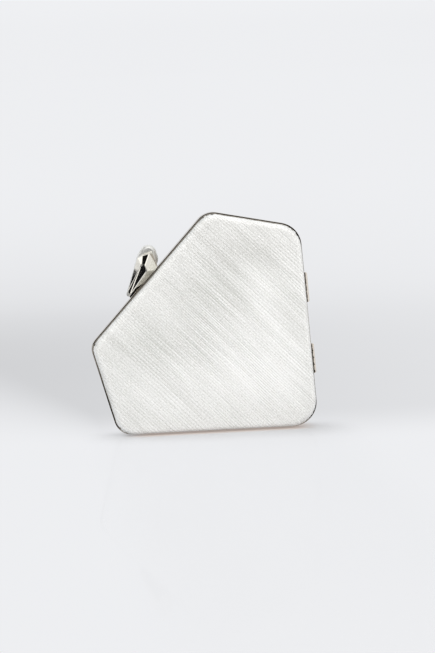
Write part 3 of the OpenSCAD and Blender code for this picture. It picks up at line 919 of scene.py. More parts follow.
def pleated_cover(name, seed, sense):
    """The pleated cover of a front half. Its pleats fall to the right for sense 1."""
    scene = bpy.context.scene
    layers, look = scene.clutch_layers, scene.clutch_cloth
    outline = Outline(scene.clutch_outline)
    rng = np.random.default_rng(seed)
    fold = Fold(outline, face_inset(layers), layers.half_depth, layers.edge_round,
                layers.sheet_start)
    fall = look.pleat_angle
    along = np.array([math.cos(fall) * sense, -math.sin(fall)])
    across = np.array([math.sin(fall) * sense, math.cos(fall)])
    middle = outline.sharp.mean(axis=0) @ across
    lines, heights, pleats, count = pleat_rows(rng, *fold.span(across), look, middle)
    low, high = fold.span(along)
    steps = np.arange(low, high + look.along_step, look.along_step)
    s, t = np.meshgrid(steps, lines, indexing="ij")
    bend = Waves(rng, *BEND_WAVES).at(s, t) * BEND * MM
    flat = (s[..., None] * along + (t + bend)[..., None] * across).reshape(-1, 2)
    flat, out, way, corner, kept = fold.trimmed(flat)
    valley = valley_depths(rng, s, t, heights, pleats, count)

    # Relief fades where the cover goes into the channel, and gathers stand at the corners
    level = layers.half_depth - layers.edge_round - np.clip(out - fold.curl, 0, None)
    free = np.clip((level - layers.rim_depth - RELIEF_START) / RELIEF_RUN, 0, 1)
    gather = corner * np.clip((out - 0.5 * fold.curl) / GATHER_RUN, 0, 1) * free
    tucks = corner_tucks(way, 46, 1.7, 17)
    press = look.pleat_relief * valley * (0.25 + 0.75 * free) + GATHER * gather * tucks
    ripple = Waves(rng, *RIPPLE_WAVES).at(s, t).ravel() * RIPPLE * MM * free

    # Between its face and the frame the side swells, in uneven bumps at the corners
    wall = layers.half_depth - layers.edge_round - layers.rim_depth
    under = np.clip((-way[:, 1] - 0.85) / 0.1, 0, 1)
    bumps = Waves(rng, *BUMP_WAVES).at(s, t).ravel()
    swell = layers.side_puff * (1 + bumps + 3 * corner * (1.1 - tucks)) + layers.sag * under
    swell *= np.sin(math.pi * np.clip((out - fold.curl) / wall, 0, 1))
    end = channel_end(outline, flat, COVER_BELOW)
    outer, inner = (
        fold.place(flat, out, way, lift, layers.crown, end, swell)
        for lift in (ripple - press, np.full(len(out), -layers.cover_thick)))
    made, used = closed_sheet(name, outer, inner, grid_cells(kept.reshape(s.shape)))
    on_sheet(made, used, cloth=cloth_place(s.ravel(), t.ravel()),
             pleat=np.broadcast_to(pleats, s.shape).ravel(),
             # The tone is painted light and shade in broad spots
             tone=spotted(flat, outline, 0, CLOTH_PAINTED_LIGHT),
             lines=spotted(flat, outline, 0.66, CLOTH_LINES), edge=out,
             slanted=np.clip((way @ outline.normals[3] - 0.8) / 0.15, 0, 1))
    # The valleys' depth and the corners' gathers, kept to darken the cloth there as painted shade
    on_sheet(made, used, inner=0, valley=valley + 0.5 * gather * tucks)
    return made


# Broad spots on the cloth: across, up, half width and half height in mm from the outline's middle,
# and what each adds to the cloth's shade or to the strength of its lines. The shade spots are
# painted light and shade: uneven sheen, and lighter or darker where the lamps light the face more
# or less; the line spots change the strength of the painted pleat lines
CLOTH_PAINTED_LIGHT = (
    (-42, -8, 30, 16, 0.15), (4, 30, 28, 18, 0.18), (30, 60, 30, 18, 0.17),
    (44, -38, 34, 30, -0.30), (42, 18, 18, 28, -0.13), (-20, -52, 40, 20, -0.14),
    (-8, -30, 26, 10, -0.03))
CLOTH_LINES = (
    (-4, 2, 22, 18, 1.6), (-47, -8, 22, 26, -0.14), (-15, -50, 30, 14, -0.12),
    (46, -42, 28, 24, 0.35))


def spotted(flat, outline, start, spots):
    """A value that starts even and that broad, soft spots raise or lower."""
    middle = outline.sharp.mean(axis=0)
    value = np.full(len(flat), float(start))
    for x, z, wide, high, change in spots:
        d = (flat - middle) / MM - (x, z)
        value += change * np.exp(-(d[:, 0] / wide) ** 2 - (d[:, 1] / high) ** 2)
    return value


# Rings of a pad's face: how far inside its edge they lie, in mm
PAD_RINGS = (2.0, 5, 10, 18, 28)


def pad_sheet(name):
    """The crowned foam pad between a front half's shell and its cover."""
    scene = bpy.context.scene
    layers = scene.clutch_layers
    outline = Outline(scene.clutch_outline)
    inset = face_inset(layers)
    low = layers.half_depth - layers.cover_thick - layers.pad_thick - layers.layer_gap
    high = layers.half_depth - layers.cover_thick - layers.layer_gap
    # From its underside round its edge: how far in, in mm, and how deep
    rings = [(0.35, low), (0, low + 0.3 * MM), (0, high - 0.55 * MM), (0.25, high - 0.15 * MM),
             (0.8, high)] + [(move, high) for move in PAD_RINGS]
    points, faces = [], []
    for move, level in rings:
        ring = outline.ring(inset + move * MM, outline.soft_corner, CORNER_STEPS)
        rise = layers.crown * outline.rise(ring, inset) * (level > low + 0.4 * MM)
        points.extend((x, -(level + up), z) for (x, z), up in zip(ring, rise))
    n = len(ring)
    for k in range(len(rings) - 1):
        for i in range(n):
            j = (i + 1) % n
            faces.append((k * n + i, k * n + j, (k + 1) * n + j, (k + 1) * n + i))
    faces.append(tuple(range(n))[::-1])
    faces.append(tuple((len(rings) - 1) * n + i for i in range(n)))
    return mesh_object(name, points, faces, 50)


# The lining's mesh step, how far its tucks grow up the wall, and how far its tucks, the middle
# of its walls and all of it stand off the shell
LINING_STEP, TUCK_RUN = 1.9 * MM, 4 * MM
TUCK, WALL_LOOSE, ALL_LOOSE = 0.45 * MM, 0.16 * MM, 0.10 * MM


def lining_tray(name, seed):
    """The satin lining of a front half: a sheet laid in the shell and up its walls, seen
    from inside, with small tucks in its corners and a faint wave along its edge."""
    scene = bpy.context.scene
    layers = scene.clutch_layers
    outline = Outline(scene.clutch_outline)
    rng = np.random.default_rng(seed)
    wall = (layers.rim_band + layers.cover_thick + layers.shell_thick + 3 * layers.layer_gap
            + layers.lining_thick)
    floor = (layers.half_depth - layers.cover_thick - layers.pad_thick - layers.shell_thick
             - 3 * layers.layer_gap - layers.lining_thick)
    r = layers.lining_round
    fold = Fold(outline, wall + r, floor, r, layers.sheet_start)
    steps = [np.arange(low, high + LINING_STEP, LINING_STEP)
             for low, high in (fold.span((1, 0)), fold.span((0, 1)))]
    x, z = np.meshgrid(*steps, indexing="ij")
    flat, out, way, corner, kept = fold.trimmed(np.stack([x.ravel(), z.ravel()], 1))
    climb = np.clip(out / fold.reach, 0, 1)
    tucks = corner_tucks(way, 40, 1.3, 13)
    gather = corner * np.clip(out / TUCK_RUN, 0, 1)
    wave = Waves(rng, *LINING_WAVES).at(x, z).ravel()
    # What stands off the shell goes into the tray, so it is a negative lift
    lift = -(TUCK * gather * tucks + WALL_LOOSE * (wave + 1) * np.clip(
        1 - np.abs(climb - 0.5) * 2, 0, 1) + ALL_LOOSE * (wave + 1))
    end = channel_end(outline, flat, LINING_BELOW)
    inner = fold.place(flat, out, way, lift, 0, end)
    outer = fold.place(flat, out, way, np.full(len(out), layers.lining_thick * 0.98), 0, end)
    made, used = closed_sheet(name, outer, inner, grid_cells(kept.reshape(x.shape)))
    on_sheet(made, used, cloth=cloth_place(z.ravel(), x.ravel()))
    # The tucks and the waves that stand off the shell darken the satin as painted shade
    on_sheet(made, used, outer=0, valley=gather * tucks + 0.15 * (wave + 1))
    return made


# The pocket's panel: its points across and up, the share of its height at which its hem
# begins, and how high and how much its lower corners are cut round
POCKET_COLUMNS, POCKET_ROWS, HEM_SHARE = 97, 59, 0.885
CUT_HEIGHT_SHARE, CUT_WIDTH_SHARE = 0.10, 0.06
# How far it stands off, how high its gathers, hem and waves are
POCKET_STAND, POCKET_GATHER, HEM_STAND, POCKET_WAVE = 1.5 * MM, 0.5 * MM, 0.35 * MM, 0.12 * MM


def slip_pocket_panel(name):
    """The slip pocket on the rear lining: a panel sewn on three sides, its open top edge
    turned over as a hem and eased in by an elastic, so that it stands a little open."""
    box_low, box_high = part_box("slip_pocket")
    wide, high = box_high.x - box_low.x, box_high.z - box_low.z
    middle = (box_low.x + box_high.x) / 2
    u, v = np.meshgrid(np.linspace(-1, 1, POCKET_COLUMNS), np.linspace(0, 1, POCKET_ROWS),
                       indexing="ij")
    u, v = u.ravel(), v.ravel()
    pull = np.clip((CUT_HEIGHT_SHARE - v) / CUT_HEIGHT_SHARE, 0, 1)
    x = middle + u * wide / 2 * (1 - CUT_WIDTH_SHARE * pull ** 2)
    z = box_low.z + v * high
    loose = (1 - u ** 2) ** 0.6 * np.clip(v / 0.12, 0, 1) ** 0.5
    gathers = np.clip((v - 0.62) / 0.3, 0, 1) * (1 - u ** 2)
    pleats = 0.5 + 0.5 * np.sin(u * 74 + 1.4 * np.sin(u * 19) + 0.8 * np.sin(v * 5))
    hem = np.clip((v - HEM_SHARE) / 0.01, 0, 1)
    thick = box_high.y - box_low.y
    stand = (POCKET_STAND * loose * (0.3 + 0.7 * v) + POCKET_GATHER * gathers * pleats
             + HEM_STAND * hem + POCKET_WAVE * np.sin(9 * u + 4 * v) * loose)
    back = box_high.y
    front = np.stack([x, back - thick * 0.95 - stand, z], 1)
    behind = np.stack([x, back - 0.02 * MM - stand * 0.85, z], 1)
    keep = np.ones((POCKET_COLUMNS, POCKET_ROWS), bool)
    made, used = closed_sheet(name, front, behind, grid_cells(keep))
    seam = np.clip(1 - np.abs(v - HEM_SHARE) / 0.012, 0, 1)
    # The gathers' valleys are darkened as painted shade, and a darker line runs along the hem's
    # seam
    on_sheet(made, used, cloth=cloth_place(z, x),
             valley=0.5 * gathers * (1 - pleats) + 0.6 * seam)
    return made


# The pocket's seam: how far in it runs, how far up and in its slanted corners reach, how far
# under the top edge it ends, and how far in front of the pocket's solid it runs
SEAM_IN, SEAM_UP, SEAM_ACROSS, SEAM_TOP, SEAM_PROUD = 1.6 * MM, 7 * MM, 4.2 * MM, 1 * MM, 0.35 * MM


def pocket_seam():
    """The line of the pocket's seam, from its left top down, across and up again."""
    low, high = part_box("slip_pocket")
    y = low.y - SEAM_PROUD
    side = [(SEAM_IN, high.z - SEAM_TOP), (SEAM_IN, low.z + SEAM_UP),
            (SEAM_ACROSS, low.z + SEAM_IN)]
    return ([(low.x + inward, y, z) for inward, z in side]
            + [(high.x - inward, y, z) for inward, z in side[::-1]])


def stitch_rows(name, runs, out, stitch=2.1 * MM, gap=0.9 * MM, radius=0.17 * MM):
    """Rows of running stitches: each run is a list of points, out the way off the cloth."""
    points, faces = [], []
    sides, rings = 6, 5
    for run in runs:
        run = [Vector(p) for p in run]
        spans = [(run[i + 1] - run[i]).length for i in range(len(run) - 1)]
        total, at = sum(spans), 0.5 * gap

        def along(d):
            for i, span in enumerate(spans):
                if d <= span or i == len(spans) - 1:
                    return run[i].lerp(run[i + 1], min(d / span, 1))
                d -= span

        while at + stitch < total:
            a, b = along(at), along(at + stitch)
            way = (b - a).normalized()
            side = way.cross(Vector(out)).normalized()
            first = len(points)
            for k in range(rings):
                w = k / (rings - 1)
                centre = a.lerp(b, w) + Vector(out) * (0.22 * MM * math.sin(math.pi * w))
                for j in range(sides):
                    turn = 2 * math.pi * j / sides
                    r = radius * (0.55 + 0.45 * math.sin(math.pi * w))
                    points.append(centre + side * r * math.cos(turn)
                                  + Vector(out) * r * math.sin(turn))
            for k in range(rings - 1):
                for j in range(sides):
                    i = first + k * sides
                    faces.append((i + j, i + (j + 1) % sides, i + sides + (j + 1) % sides,
                                  i + sides + j))
            faces.append(tuple(first + j for j in range(sides))[::-1])
            last = first + (rings - 1) * sides
            faces.append(tuple(last + j for j in range(sides)))
            at += stitch + gap
    return mesh_object(name, points, faces, 60)


# Frames

HINGES = ("lower_hinge", "upper_hinge")
HINGE_PLACES = (53.3 * MM, 110.6 * MM)
HINGE_LENGTH = 22.6 * MM
AXIS_OUT = 0.9 * MM
NOTCH_RADIUS = 2.2 * MM
NOTCH_HALF = 12.3 * MM
LEAF_CLEAR, LEAF_DEPTH = 0.1 * MM, 1.05 * MM
# How far cutters run past what they cut
OVERRUN = 1 * MM
# The clasp's room in the frames: half its length, its depth, its gap to the flange and how
# far under the edge it begins. Behind is the rocker's post: half its width, and its reaches
CLASP_HALF, CLASP_DEPTH, CLASP_CLEAR, CLASP_TOP = 8 * MM, 3 * MM, 0.2 * MM, 1.7 * MM
POST_HALF, POST_FRONT, POST_BACK, POST_DOWN = 2.9 * MM, 1.9 * MM, 4.69 * MM, 2.7 * MM


def rim_inner(layers):
    """Inset of the frame's inner flange."""
    return (layers.rim_band + layers.cover_thick + layers.shell_thick + layers.lining_thick
            + 4 * layers.layer_gap)


def rim_profile(layers, soft):
    """The frame's channel in section, its outer front edge well rounded."""
    inner = rim_inner(layers)
    flange = inner + layers.rim_flange
    web = layers.parting + layers.rim_web
    fine, large = layers.rim_soft, layers.rim_round
    return filleted([
        (0, layers.parting, 0, fine * 2), (0, layers.rim_depth, 0, large),
        (layers.rim_band, layers.rim_depth, 0, fine), (layers.rim_band, web, 0, fine),
        (inner, web, soft, fine), (inner, layers.rim_depth, soft, fine),
        (flange, layers.rim_depth, soft, fine), (flange, layers.parting, soft, fine)])


def frame_band(name, layers, outline, rear):
    """One polished frame, as on the front half, with the room that its hinges and the clasp
    need. The rear one has room for the rocker's post too."""
    points, faces = swept(outline, rim_profile(layers, outline.soft_corner))
    made = mesh_object(name, points, faces, 35)
    right = np.linalg.norm(outline.sharp[2] - outline.sharp[1])
    hinges = [outline.place(2, 1, right - at) for at in HINGE_PLACES]
    flange = -rim_inner(layers)

    def hinge_room(b):
        for place in hinges:
            add_rod(b, (-NOTCH_HALF, 0, AXIS_OUT), (NOTCH_HALF, 0, AXIS_OUT), NOTCH_RADIUS,
                    place, 48)

    def leaf_room(b):
        half = HINGE_LENGTH / 2 + LEAF_CLEAR
        for place in hinges:
            add_box(b, (-half, -LEAF_DEPTH, flange + LEAF_CLEAR), (half, OVERRUN, 3 * OVERRUN),
                    place)

    def clasp_room(b):
        add_box(b, (-CLASP_HALF, -CLASP_DEPTH, flange + CLASP_CLEAR),
                (CLASP_HALF, OVERRUN, -CLASP_TOP), outline.slant())

    def post_room(b):
        add_box(b, (-POST_HALF, -POST_BACK, -POST_DOWN), (POST_HALF, -POST_FRONT, OVERRUN),
                outline.slant())

    for room in (hinge_room, leaf_room, clasp_room, *([post_room] if rear else [])):
        cut(made, solid(room.__name__, room))
    return made


# The smooth gem: its ends as places along the clasp, heights above the frame and radii. They
# are squashed to a share of their radius, a share of it behind the parting plane
DROP_ENDS = ((11.7, 9.6, 8.5), (15.4, 12.2, 6.6), (-19.5, 2.9, 1.8))
DROP_DEPTH, DROP_BACK = 0.7, 0.55
STUD_BACK, STUD_RADIUS, STUD_TOP = 3 * MM, 1.22 * MM, 7.02 * MM


# The faceted gem: how high its base reaches, how close its points are one, and the area up to
# which its faces are shaded smooth
GEM_BASE, GEM_WELD, SMALL_FACE = 2 * MM, 0.08 * MM, 6 * MM ** 2


def smooth_gem(name, place, bevel):
    """The drop-shaped gem as one smooth skin over its three ends, flat at the parting plane:
    each point of a ball goes to where the ends' common skin faces the same way."""
    parting = bpy.context.scene.clutch_layers.parting
    ends = np.array(DROP_ENDS) * MM

    def drop(b):
        bmesh.ops.create_icosphere(b, subdivisions=6, radius=1)
        ways = np.array([v.co for v in b.verts])
        flatter = np.array([1, DROP_DEPTH ** 2, 1])
        spread = np.sqrt((ways ** 2 * flatter).sum(axis=1))
        centres = np.stack([ends[:, 0], parting + DROP_BACK * ends[:, 2], ends[:, 1]], 1)
        reach = ways @ centres.T + spread[:, None] * ends[:, 2]
        best = reach.argmax(axis=1)
        places = centres[best] + ways * flatter * (ends[best, 2] / spread)[:, None]
        for vertex, at in zip(b.verts, places):
            vertex.co = at
        whole = b.verts[:] + b.edges[:] + b.faces[:]
        bmesh.ops.bisect_plane(b, geom=whole, plane_co=(0, parting, 0), plane_no=(0, -1, 0),
                               clear_outer=True)
        rim = [e for e in b.edges if e.is_boundary]
        flat = bmesh.ops.contextual_create(b, geom=rim)["faces"]
        bmesh.ops.bevel(b, geom=[e for f in flat for e in f.edges], offset=bevel, segments=3,
                        affect="EDGES", profile=0.5, clamp_overlap=True)
        bmesh.ops.transform(b, verts=b.verts, matrix=place)

    def stud(b):
        add_rod(b, (0, STUD_BACK, -OVERRUN), (0, STUD_BACK, STUD_TOP), STUD_RADIUS, place)

    made = solid(name, drop)
    tidy(made, 50)
    return cut(made, solid("stud_room", stud))


# Operators

# What the camera and the lamps look at
CAMERA_AIM, LAMP_AIM = Vector((11.616, 0, 82.362)) * MM, Vector((0.01, 0, 0.08))
# Fields on the floor with soft edges, in metres, each edge from low to high: a strip of painted
# warm bounce light at the object's foot, and a black card and a dark room in front that only shine
# sees
WARM_ACROSS, WARM_BACK = ((-0.07, -0.045), (0.065, 0.09)), ((-0.032, -0.018), (0.0, 0.02))
CARD_RIGHT, CARD_BACK = (-0.13, -0.11), ((-0.10, -0.08), (0.11, 0.13))
GLOOM_ACROSS, GLOOM_END = ((-0.12, -0.11), (0.2, 0.3)), (-0.05, -0.025)
# Shares of red, green and blue kept where the painted warm bounce light lies
WARM_SHARES = (1, 0.86, 0.77)
# Cones of the room that shine sees: x, y and z of their direction, and the half angles in
# degrees at which they end and are full
DARK_CONES = (
    (-0.51, -0.12, 0.85, 15, 10), (-0.79, -0.30, 0.53, 15, 10),
    (-0.95, -0.45, 0.0, 24, 16), (0.07, -0.99, -0.02, 28, 20))
BRIGHT_CONES = ((-0.76, 0.36, 0.54, 17, 13), (0.16, -0.54, 0.83, 32, 26))
RIGHT_CONE = (0.80, -0.30, 0.45, 50, 25)


class CLUTCH_OT_stage(bpy.types.Operator):
    """Floor, backdrop, lamps, room light and camera"""
    bl_idname = "clutch.stage"
    bl_label = "Stage"

    def execute(self, context):
        studio = context.scene.clutch_studio
        self.floor(studio)
        self.cards()
        self.room(context, studio)
        self.lamps(studio)
        self.camera(context, studio)
        context.scene.view_settings.view_transform = "Standard"
        return {"FINISHED"}

    def floor(self, studio):
        """A pale sweep: the floor, and the backdrop that it rises into far behind."""
        wide, front, back, top, radius = 6.0, -1.6, 2.6, 3.4, 1.2
        section = [(front, 0.0)] + [(y, 0.0) for y in np.linspace(-1.2, back - radius, 20)]
        section += [(back - radius + radius * math.sin(a), radius - radius * math.cos(a))
                    for a in np.linspace(0, math.pi / 2, 16)[1:]]
        section.append((back, top))
        points = [(x, y, z) for x in (-wide, wide) for y, z in section]
        n = len(section)
        made = mesh_object("studio_sweep", points,
                           [(k, k + 1, n + k + 1, n + k) for k in range(n - 1)])
        look, t = material("studio_floor")
        place = t.add("NewGeometry", out=0)
        x, y, z = t.parts(place)
        cloud = t.noise(place, 3, 2, 0.4)
        # Painted shade: the floor is dimmed behind the object, most at the left, and clears again
        # along the sweep
        side = 1 - (x - y * 0.073).between(-0.3, 0.35) * 0.6
        fade = (y + z).between(0.4, 2.15) ** 1.25
        left = (-0.085 - x).maths("MAXIMUM", 0.0)
        behind = (y + 0.07 + x.between(0.0, 0.1) * 0.05) / (1 + left * 25)
        dim = behind.between(0.0, 0.24) * (1 - fade) * side + (cloud - 0.5) * 0.05
        dim = dim.clamped()

        # Right under the front edge the floor is painted a little warm, as light bounced from the
        # metal above it into the shadow
        rays = self.rays(t, "Is Camera Ray", "Is Glossy Ray", "Is Transmission Ray")
        warm = x.within(*WARM_ACROSS) * y.within(*WARM_BACK) * rays

        def warmed(pale):
            """A pale tone, dimmed by the painted shade and warmed by the painted bounce light."""
            return t.mix(warm, t.toned(dim, pale, studio.painted_dim_share),
                         tuple(c * w for c, w in zip(pale, WARM_SHARES)))

        lit = t.add("BsdfPrincipled", {}, {
            "Base Color": warmed(studio.floor_colour), "Roughness": 0.8,
            "Specular IOR Level": 0.0})
        # But for the shadow at the object's foot, the floor's own tone is what is seen of it
        seen = t.add("Emission", {}, {"Color": warmed(studio.sweep_colour)})
        foot = (1 - y.between(-0.04, 0.04)) * (0.3 + y.between(-0.09, -0.02) * 0.7)
        foot = foot * (1 - (x - 0.01).maths("ABSOLUTE").between(0.07, 0.115))
        own = rays * (1 - foot * 0.88)
        shader = t.add("MixShader", {}, {0: own, 1: lit, 2: seen})
        mirror = t.add("BsdfGlossy", {}, {"Roughness": 0.04})
        shader = t.add("MixShader", {}, {0: studio.gloss, 1: shader, 2: mirror})
        # For shine there is a black card lying at the left, and a dark room in front
        card = y.within(*CARD_BACK) * (1 - x.between(*CARD_RIGHT))
        gloom = x.within(*GLOOM_ACROSS) * (1 - y.between(*GLOOM_END))
        dark = card.maths("MAXIMUM", gloom) * self.rays(t, "Is Glossy Ray")
        black = t.add("Emission", {}, {"Strength": 0.0})
        shader = t.add("MixShader", {}, {0: dark, 1: shader, 2: black})
        t.add("OutputMaterial", {}, {"Surface": shader})
        made.data.materials.append(look)

    @staticmethod
    def rays(t, *kinds):
        """1 for the rays of these kinds."""
        outputs = t.add("LightPath").socket.node.outputs
        found = Socket(t, outputs[kinds[0]])
        for kind in kinds[1:]:
            found = found.maths("MAXIMUM", Socket(t, outputs[kind]))
        return found

    def cards(self):
        """Black cards and a white one that only shine shows, standing at the left."""
        black, t = material("black_card")
        t.surface(Base_Color=(0.006, 0.006, 0.007), Roughness=0.9, Specular_IOR_Level=0.1)
        white, t = material("white_card")
        glow = t.add("Emission", {}, {"Color": (1, 1, 1, 1), "Strength": 1.25})
        t.add("OutputMaterial", {}, {"Surface": glow})
        for name, look, x, low, high in (
                ("black_card_left", black, -0.60, (-0.75, 0.001), (0.12, 0.42)),
                ("black_card_back", black, -0.60, (0.31, 0.2), (0.50, 0.278)),
                ("white_card", white, -0.59, (-0.205, 0.09), (0.01, 0.3))):
            corners = [(x, *low), (x, high[0], low[1]), (x, *high), (x, low[0], high[1])]
            made = mesh_object(name, corners, [(0, 1, 2, 3)])
            made.data.materials.append(look)
            made.visible_camera = made.visible_diffuse = made.visible_shadow = False

    def room(self, context, studio):
        """Room light: an even level, a pale backdrop for the camera, and for shine a pale
        studio with brighter fields, soft at the right, and dark ones."""
        world = bpy.data.worlds.new("studio_room")
        context.scene.world = world
        t = Tree(world)
        way = t.add("TexCoord", out=0)

        def towards(x, y, z, wide, full):
            """1 inside a cone about a direction, 0 outside it, its half angles in degrees."""
            dot = t.add("VectorMath", {"operation": "DOT_PRODUCT"},
                        {0: way, 1: tuple(unit((x, y, z)))}, out=1)
            return dot.between(math.cos(math.radians(wide)), math.cos(math.radians(full)))

        def most(*cones):
            """The strongest of some cones."""
            found = towards(*cones[0])
            for cone in cones[1:]:
                found = found.maths("MAXIMUM", towards(*cone))
            return found

        dark, bright, right = most(*DARK_CONES), most(*BRIGHT_CONES), towards(*RIGHT_CONE)
        level = (0.78 + bright * 0.45 + right * 0.05) * (1 - dark * 0.99)
        shine = t.add("CombineColor", {}, {0: level, 1: level, 2: level * 1.01})
        even = (studio.world_level,) * 3
        tint = t.mix(self.rays(t, "Is Glossy Ray"), even, shine)
        seen = self.rays(t, "Is Camera Ray", "Is Transmission Ray")
        tint = t.mix(seen, tint, tuple(studio.sweep_colour))
        background = t.add("Background", {}, {"Color": tint, "Strength": 1.0})
        t.add("OutputWorld", {}, {"Surface": background})

    def lamps(self, studio):
        """A large key at the upper right, a fill at the left, a large soft light above and
        behind, and a rim light behind at the upper left."""
        for name, place, size, power, tint in (
                ("key_light", (1.1, -1.5, 1.1), 2.2, studio.key_power, studio.warm),
                ("fill_light", (-1.4, -1.4, 0.75), 1.8, studio.fill_power, studio.warm),
                ("top_light", (-0.1, 0.55, 1.9), 1.6, studio.top_power, studio.cool),
                ("rim_light", (-1.2, 0.8, 1.3), 0.8, studio.rim_power, studio.cool)):
            lamp = bpy.data.lights.new(name, "AREA")
            lamp.shape, lamp.size, lamp.energy, lamp.color = "SQUARE", size, power, tint
            made = linked(name, lamp)
            made.location = place
            made.rotation_euler = (LAMP_AIM - Vector(place)).to_track_quat("-Z", "Y").to_euler()
            made.visible_glossy = False

    def camera(self, context, studio):
        """The camera of the photograph."""
        az, el = studio.azimuth, studio.elevation
        back = Vector((-math.sin(az) * math.cos(el), -math.cos(az) * math.cos(el),
                       math.sin(el)))
        level = (-back).cross(Vector((0, 0, 1))).normalized()
        upright = level.cross(-back)
        right = level * math.cos(studio.roll) + upright * math.sin(studio.roll)
        lens = bpy.data.cameras.new("camera")
        lens.lens, lens.sensor_width, lens.sensor_fit = studio.lens, 36, "AUTO"
        lens.clip_end = 30
        made = linked("camera", lens)
        up = right.cross(-back)
        turn = Matrix((right, up, back)).transposed().to_4x4()
        made.matrix_world = Matrix.Translation(CAMERA_AIM + back * studio.distance) @ turn
        context.scene.camera = made


class CLUTCH_OT_covers(bpy.types.Operator):
    """Pleated covers of both halves"""
    bl_idname = "clutch.covers"
    bl_label = "Pleated covers"

    def execute(self, context):
        seed = context.scene.clutch_cloth.seed
        for half, sense, more in (("front", 1, 0), ("rear", -1, 5)):
            made = on_half(pleated_cover(f"{half}_pleated_cover", seed + more, sense), half)
            dress(made, f"{half}_half", "pleated_fabric", pleated_cloth(), f"{half}_cover")
        return {"FINISHED"}


class CLUTCH_OT_pads(bpy.types.Operator):
    """Foam pads and moulded shells under the covers"""
    bl_idname = "clutch.pads"
    bl_label = "Pads and shells"

    def execute(self, context):
        for half in HALVES:
            made = on_half(pad_sheet(f"{half}_pad"), half)
            dress(made, f"{half}_half", "foam", open_foam(), f"{half}_wadding")
            keep_node(f"{half}_shell", moulded_board())
        return {"FINISHED"}


class CLUTCH_OT_frames(bpy.types.Operator):
    """Polished frames of both halves"""
    bl_idname = "clutch.frames"
    bl_label = "Frames"

    def execute(self, context):
        scene = context.scene
        outline = Outline(scene.clutch_outline)
        look = polished("polished_frame_metal", tuple(scene.clutch_metal.frame), 0.03, 0.05 * MM)
        for half in HALVES:
            made = frame_band(f"{half}_frame", scene.clutch_layers, outline, half == "rear")
            dress(on_half(made, half), f"{half}_half", "frame_metal", look, f"{half}_rim")
        return {"FINISHED"}


class CLUTCH_OT_linings(bpy.types.Operator):
    """Satin linings, the slip pocket and its stitches"""
    bl_idname = "clutch.linings"
    bl_label = "Linings and pocket"

    def execute(self, context):
        for half, seed in (("front", 3), ("rear", 4)):
            made = on_half(lining_tray(f"{half}_satin_lining", seed), half)
            dress(made, f"{half}_half", "satin", lining_satin(), f"{half}_lining")
        pocket = slip_pocket_panel("satin_slip_pocket")
        dress(pocket, "rear_half", "satin", lining_satin(), "slip_pocket")
        stitches = stitch_rows("pocket_stitches", [pocket_seam()], (0, -1, 0))
        dress(stitches, "rear_half", "satin", thread())
        return {"FINISHED"}


class CLUTCH_OT_gems(bpy.types.Operator):
    """Faceted and smooth metal gems of the clasp"""
    bl_idname = "clutch.gems"
    bl_label = "Gems"

    def execute(self, context):
        metal = context.scene.clutch_metal
        to_slant = Outline(context.scene.clutch_outline).slant().inverted()
        look = polished("polished_gem_metal", tuple(metal.nickel), 0.04, 0.05 * MM)
        front = copied("front_gem", "faceted_gem", metal.facet_edge, bevel_angle=6,
                       facet=SMALL_FACE, base=lambda p: (to_slant @ p).z < GEM_BASE,
                       weld=GEM_WELD)
        dress(front, "front_half", "gem_metal", look, "front_gem")
        look = polished("smooth_gem_metal", tuple(metal.smooth), 0.38, 0.04 * MM, 0.75)
        rear = smooth_gem("smooth_gem", to_slant.inverted(), metal.bevel)
        dress(rear, "clasp", "gem_metal", look, "rear_gem")
        return {"FINISHED"}


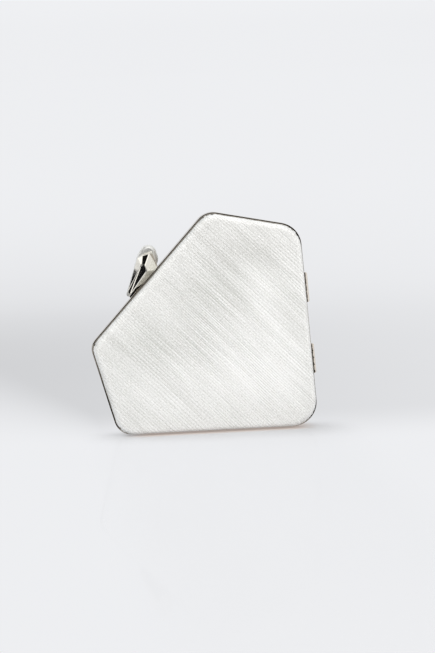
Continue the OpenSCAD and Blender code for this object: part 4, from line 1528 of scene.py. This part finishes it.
class CLUTCH_OT_hinges(bpy.types.Operator):
    """Hinge leaves with rounded edges"""
    bl_idname = "clutch.hinges"
    bl_label = "Hinges"

    def execute(self, context):
        metal = context.scene.clutch_metal
        look = polished("polished_hinge_metal", tuple(metal.hinge), 0.16, 0.02 * MM)
        for hinge in HINGES:
            for half in HALVES:
                node = f"{hinge}_{half}_leaf"
                made = copied(node, f"{hinge}_{half}_plate", 0.1 * MM, 0.5, 35, 30)
                dress(made, f"{half}_half", "hinge_metal", look, node)
            keep_node(f"{hinge}_pin", look)
        return {"FINISHED"}


class CLUTCH_OT_small_parts(bpy.types.Operator):
    """Finish of the small steel parts that keep their CAD shape"""
    bl_idname = "clutch.small_parts"
    bl_label = "Small steel parts"

    def execute(self, context):
        for node in ("front_hinge_rivets", "rear_hinge_rivets", "clasp_bracket", "clasp_pin",
                     "clasp_spring", "gem_screws", "clasp_keeper", "clasp_rocker"):
            keep_node(node, brushed_steel())
        return {"FINISHED"}


class CLUTCH_PT_panel(bpy.types.Panel):
    """Lists the clutch's pieces and sizes"""
    bl_idname = "CLUTCH_PT_panel"
    bl_label = "Box clutch"
    bl_space_type = "VIEW_3D"
    bl_region_type = "UI"
    bl_category = "Clutch"

    def draw(self, context):
        for operator in OPERATORS:
            self.layout.operator(operator.bl_idname)
        for name, group in GROUPS.items():
            column = self.layout.box().column()
            for field in group.__annotations__:
                column.prop(getattr(context.scene, name), field)


OPERATORS = (
    CLUTCH_OT_stage, CLUTCH_OT_pads, CLUTCH_OT_covers, CLUTCH_OT_frames, CLUTCH_OT_linings,
    CLUTCH_OT_gems, CLUTCH_OT_hinges, CLUTCH_OT_small_parts)


def register():
    """Registers the sizes, the operators and the panel."""
    for name, group in GROUPS.items():
        bpy.utils.register_class(group)
        setattr(bpy.types.Scene, name, PointerProperty(type=group))
    for item in (*OPERATORS, CLUTCH_PT_panel):
        bpy.utils.register_class(item)


def unregister():
    """Takes them away again."""
    for item in reversed((*OPERATORS, CLUTCH_PT_panel)):
        bpy.utils.unregister_class(item)
    for name, group in GROUPS.items():
        delattr(bpy.types.Scene, name)
        bpy.utils.unregister_class(group)


def main():
    """Builds every piece in order."""
    register()
    bpy.ops.clutch.stage()
    bpy.ops.clutch.pads()
    bpy.ops.clutch.covers()
    bpy.ops.clutch.frames()
    bpy.ops.clutch.linings()
    bpy.ops.clutch.gems()
    bpy.ops.clutch.hinges()
    bpy.ops.clutch.small_parts()


if __name__ == "__main__":
    main()
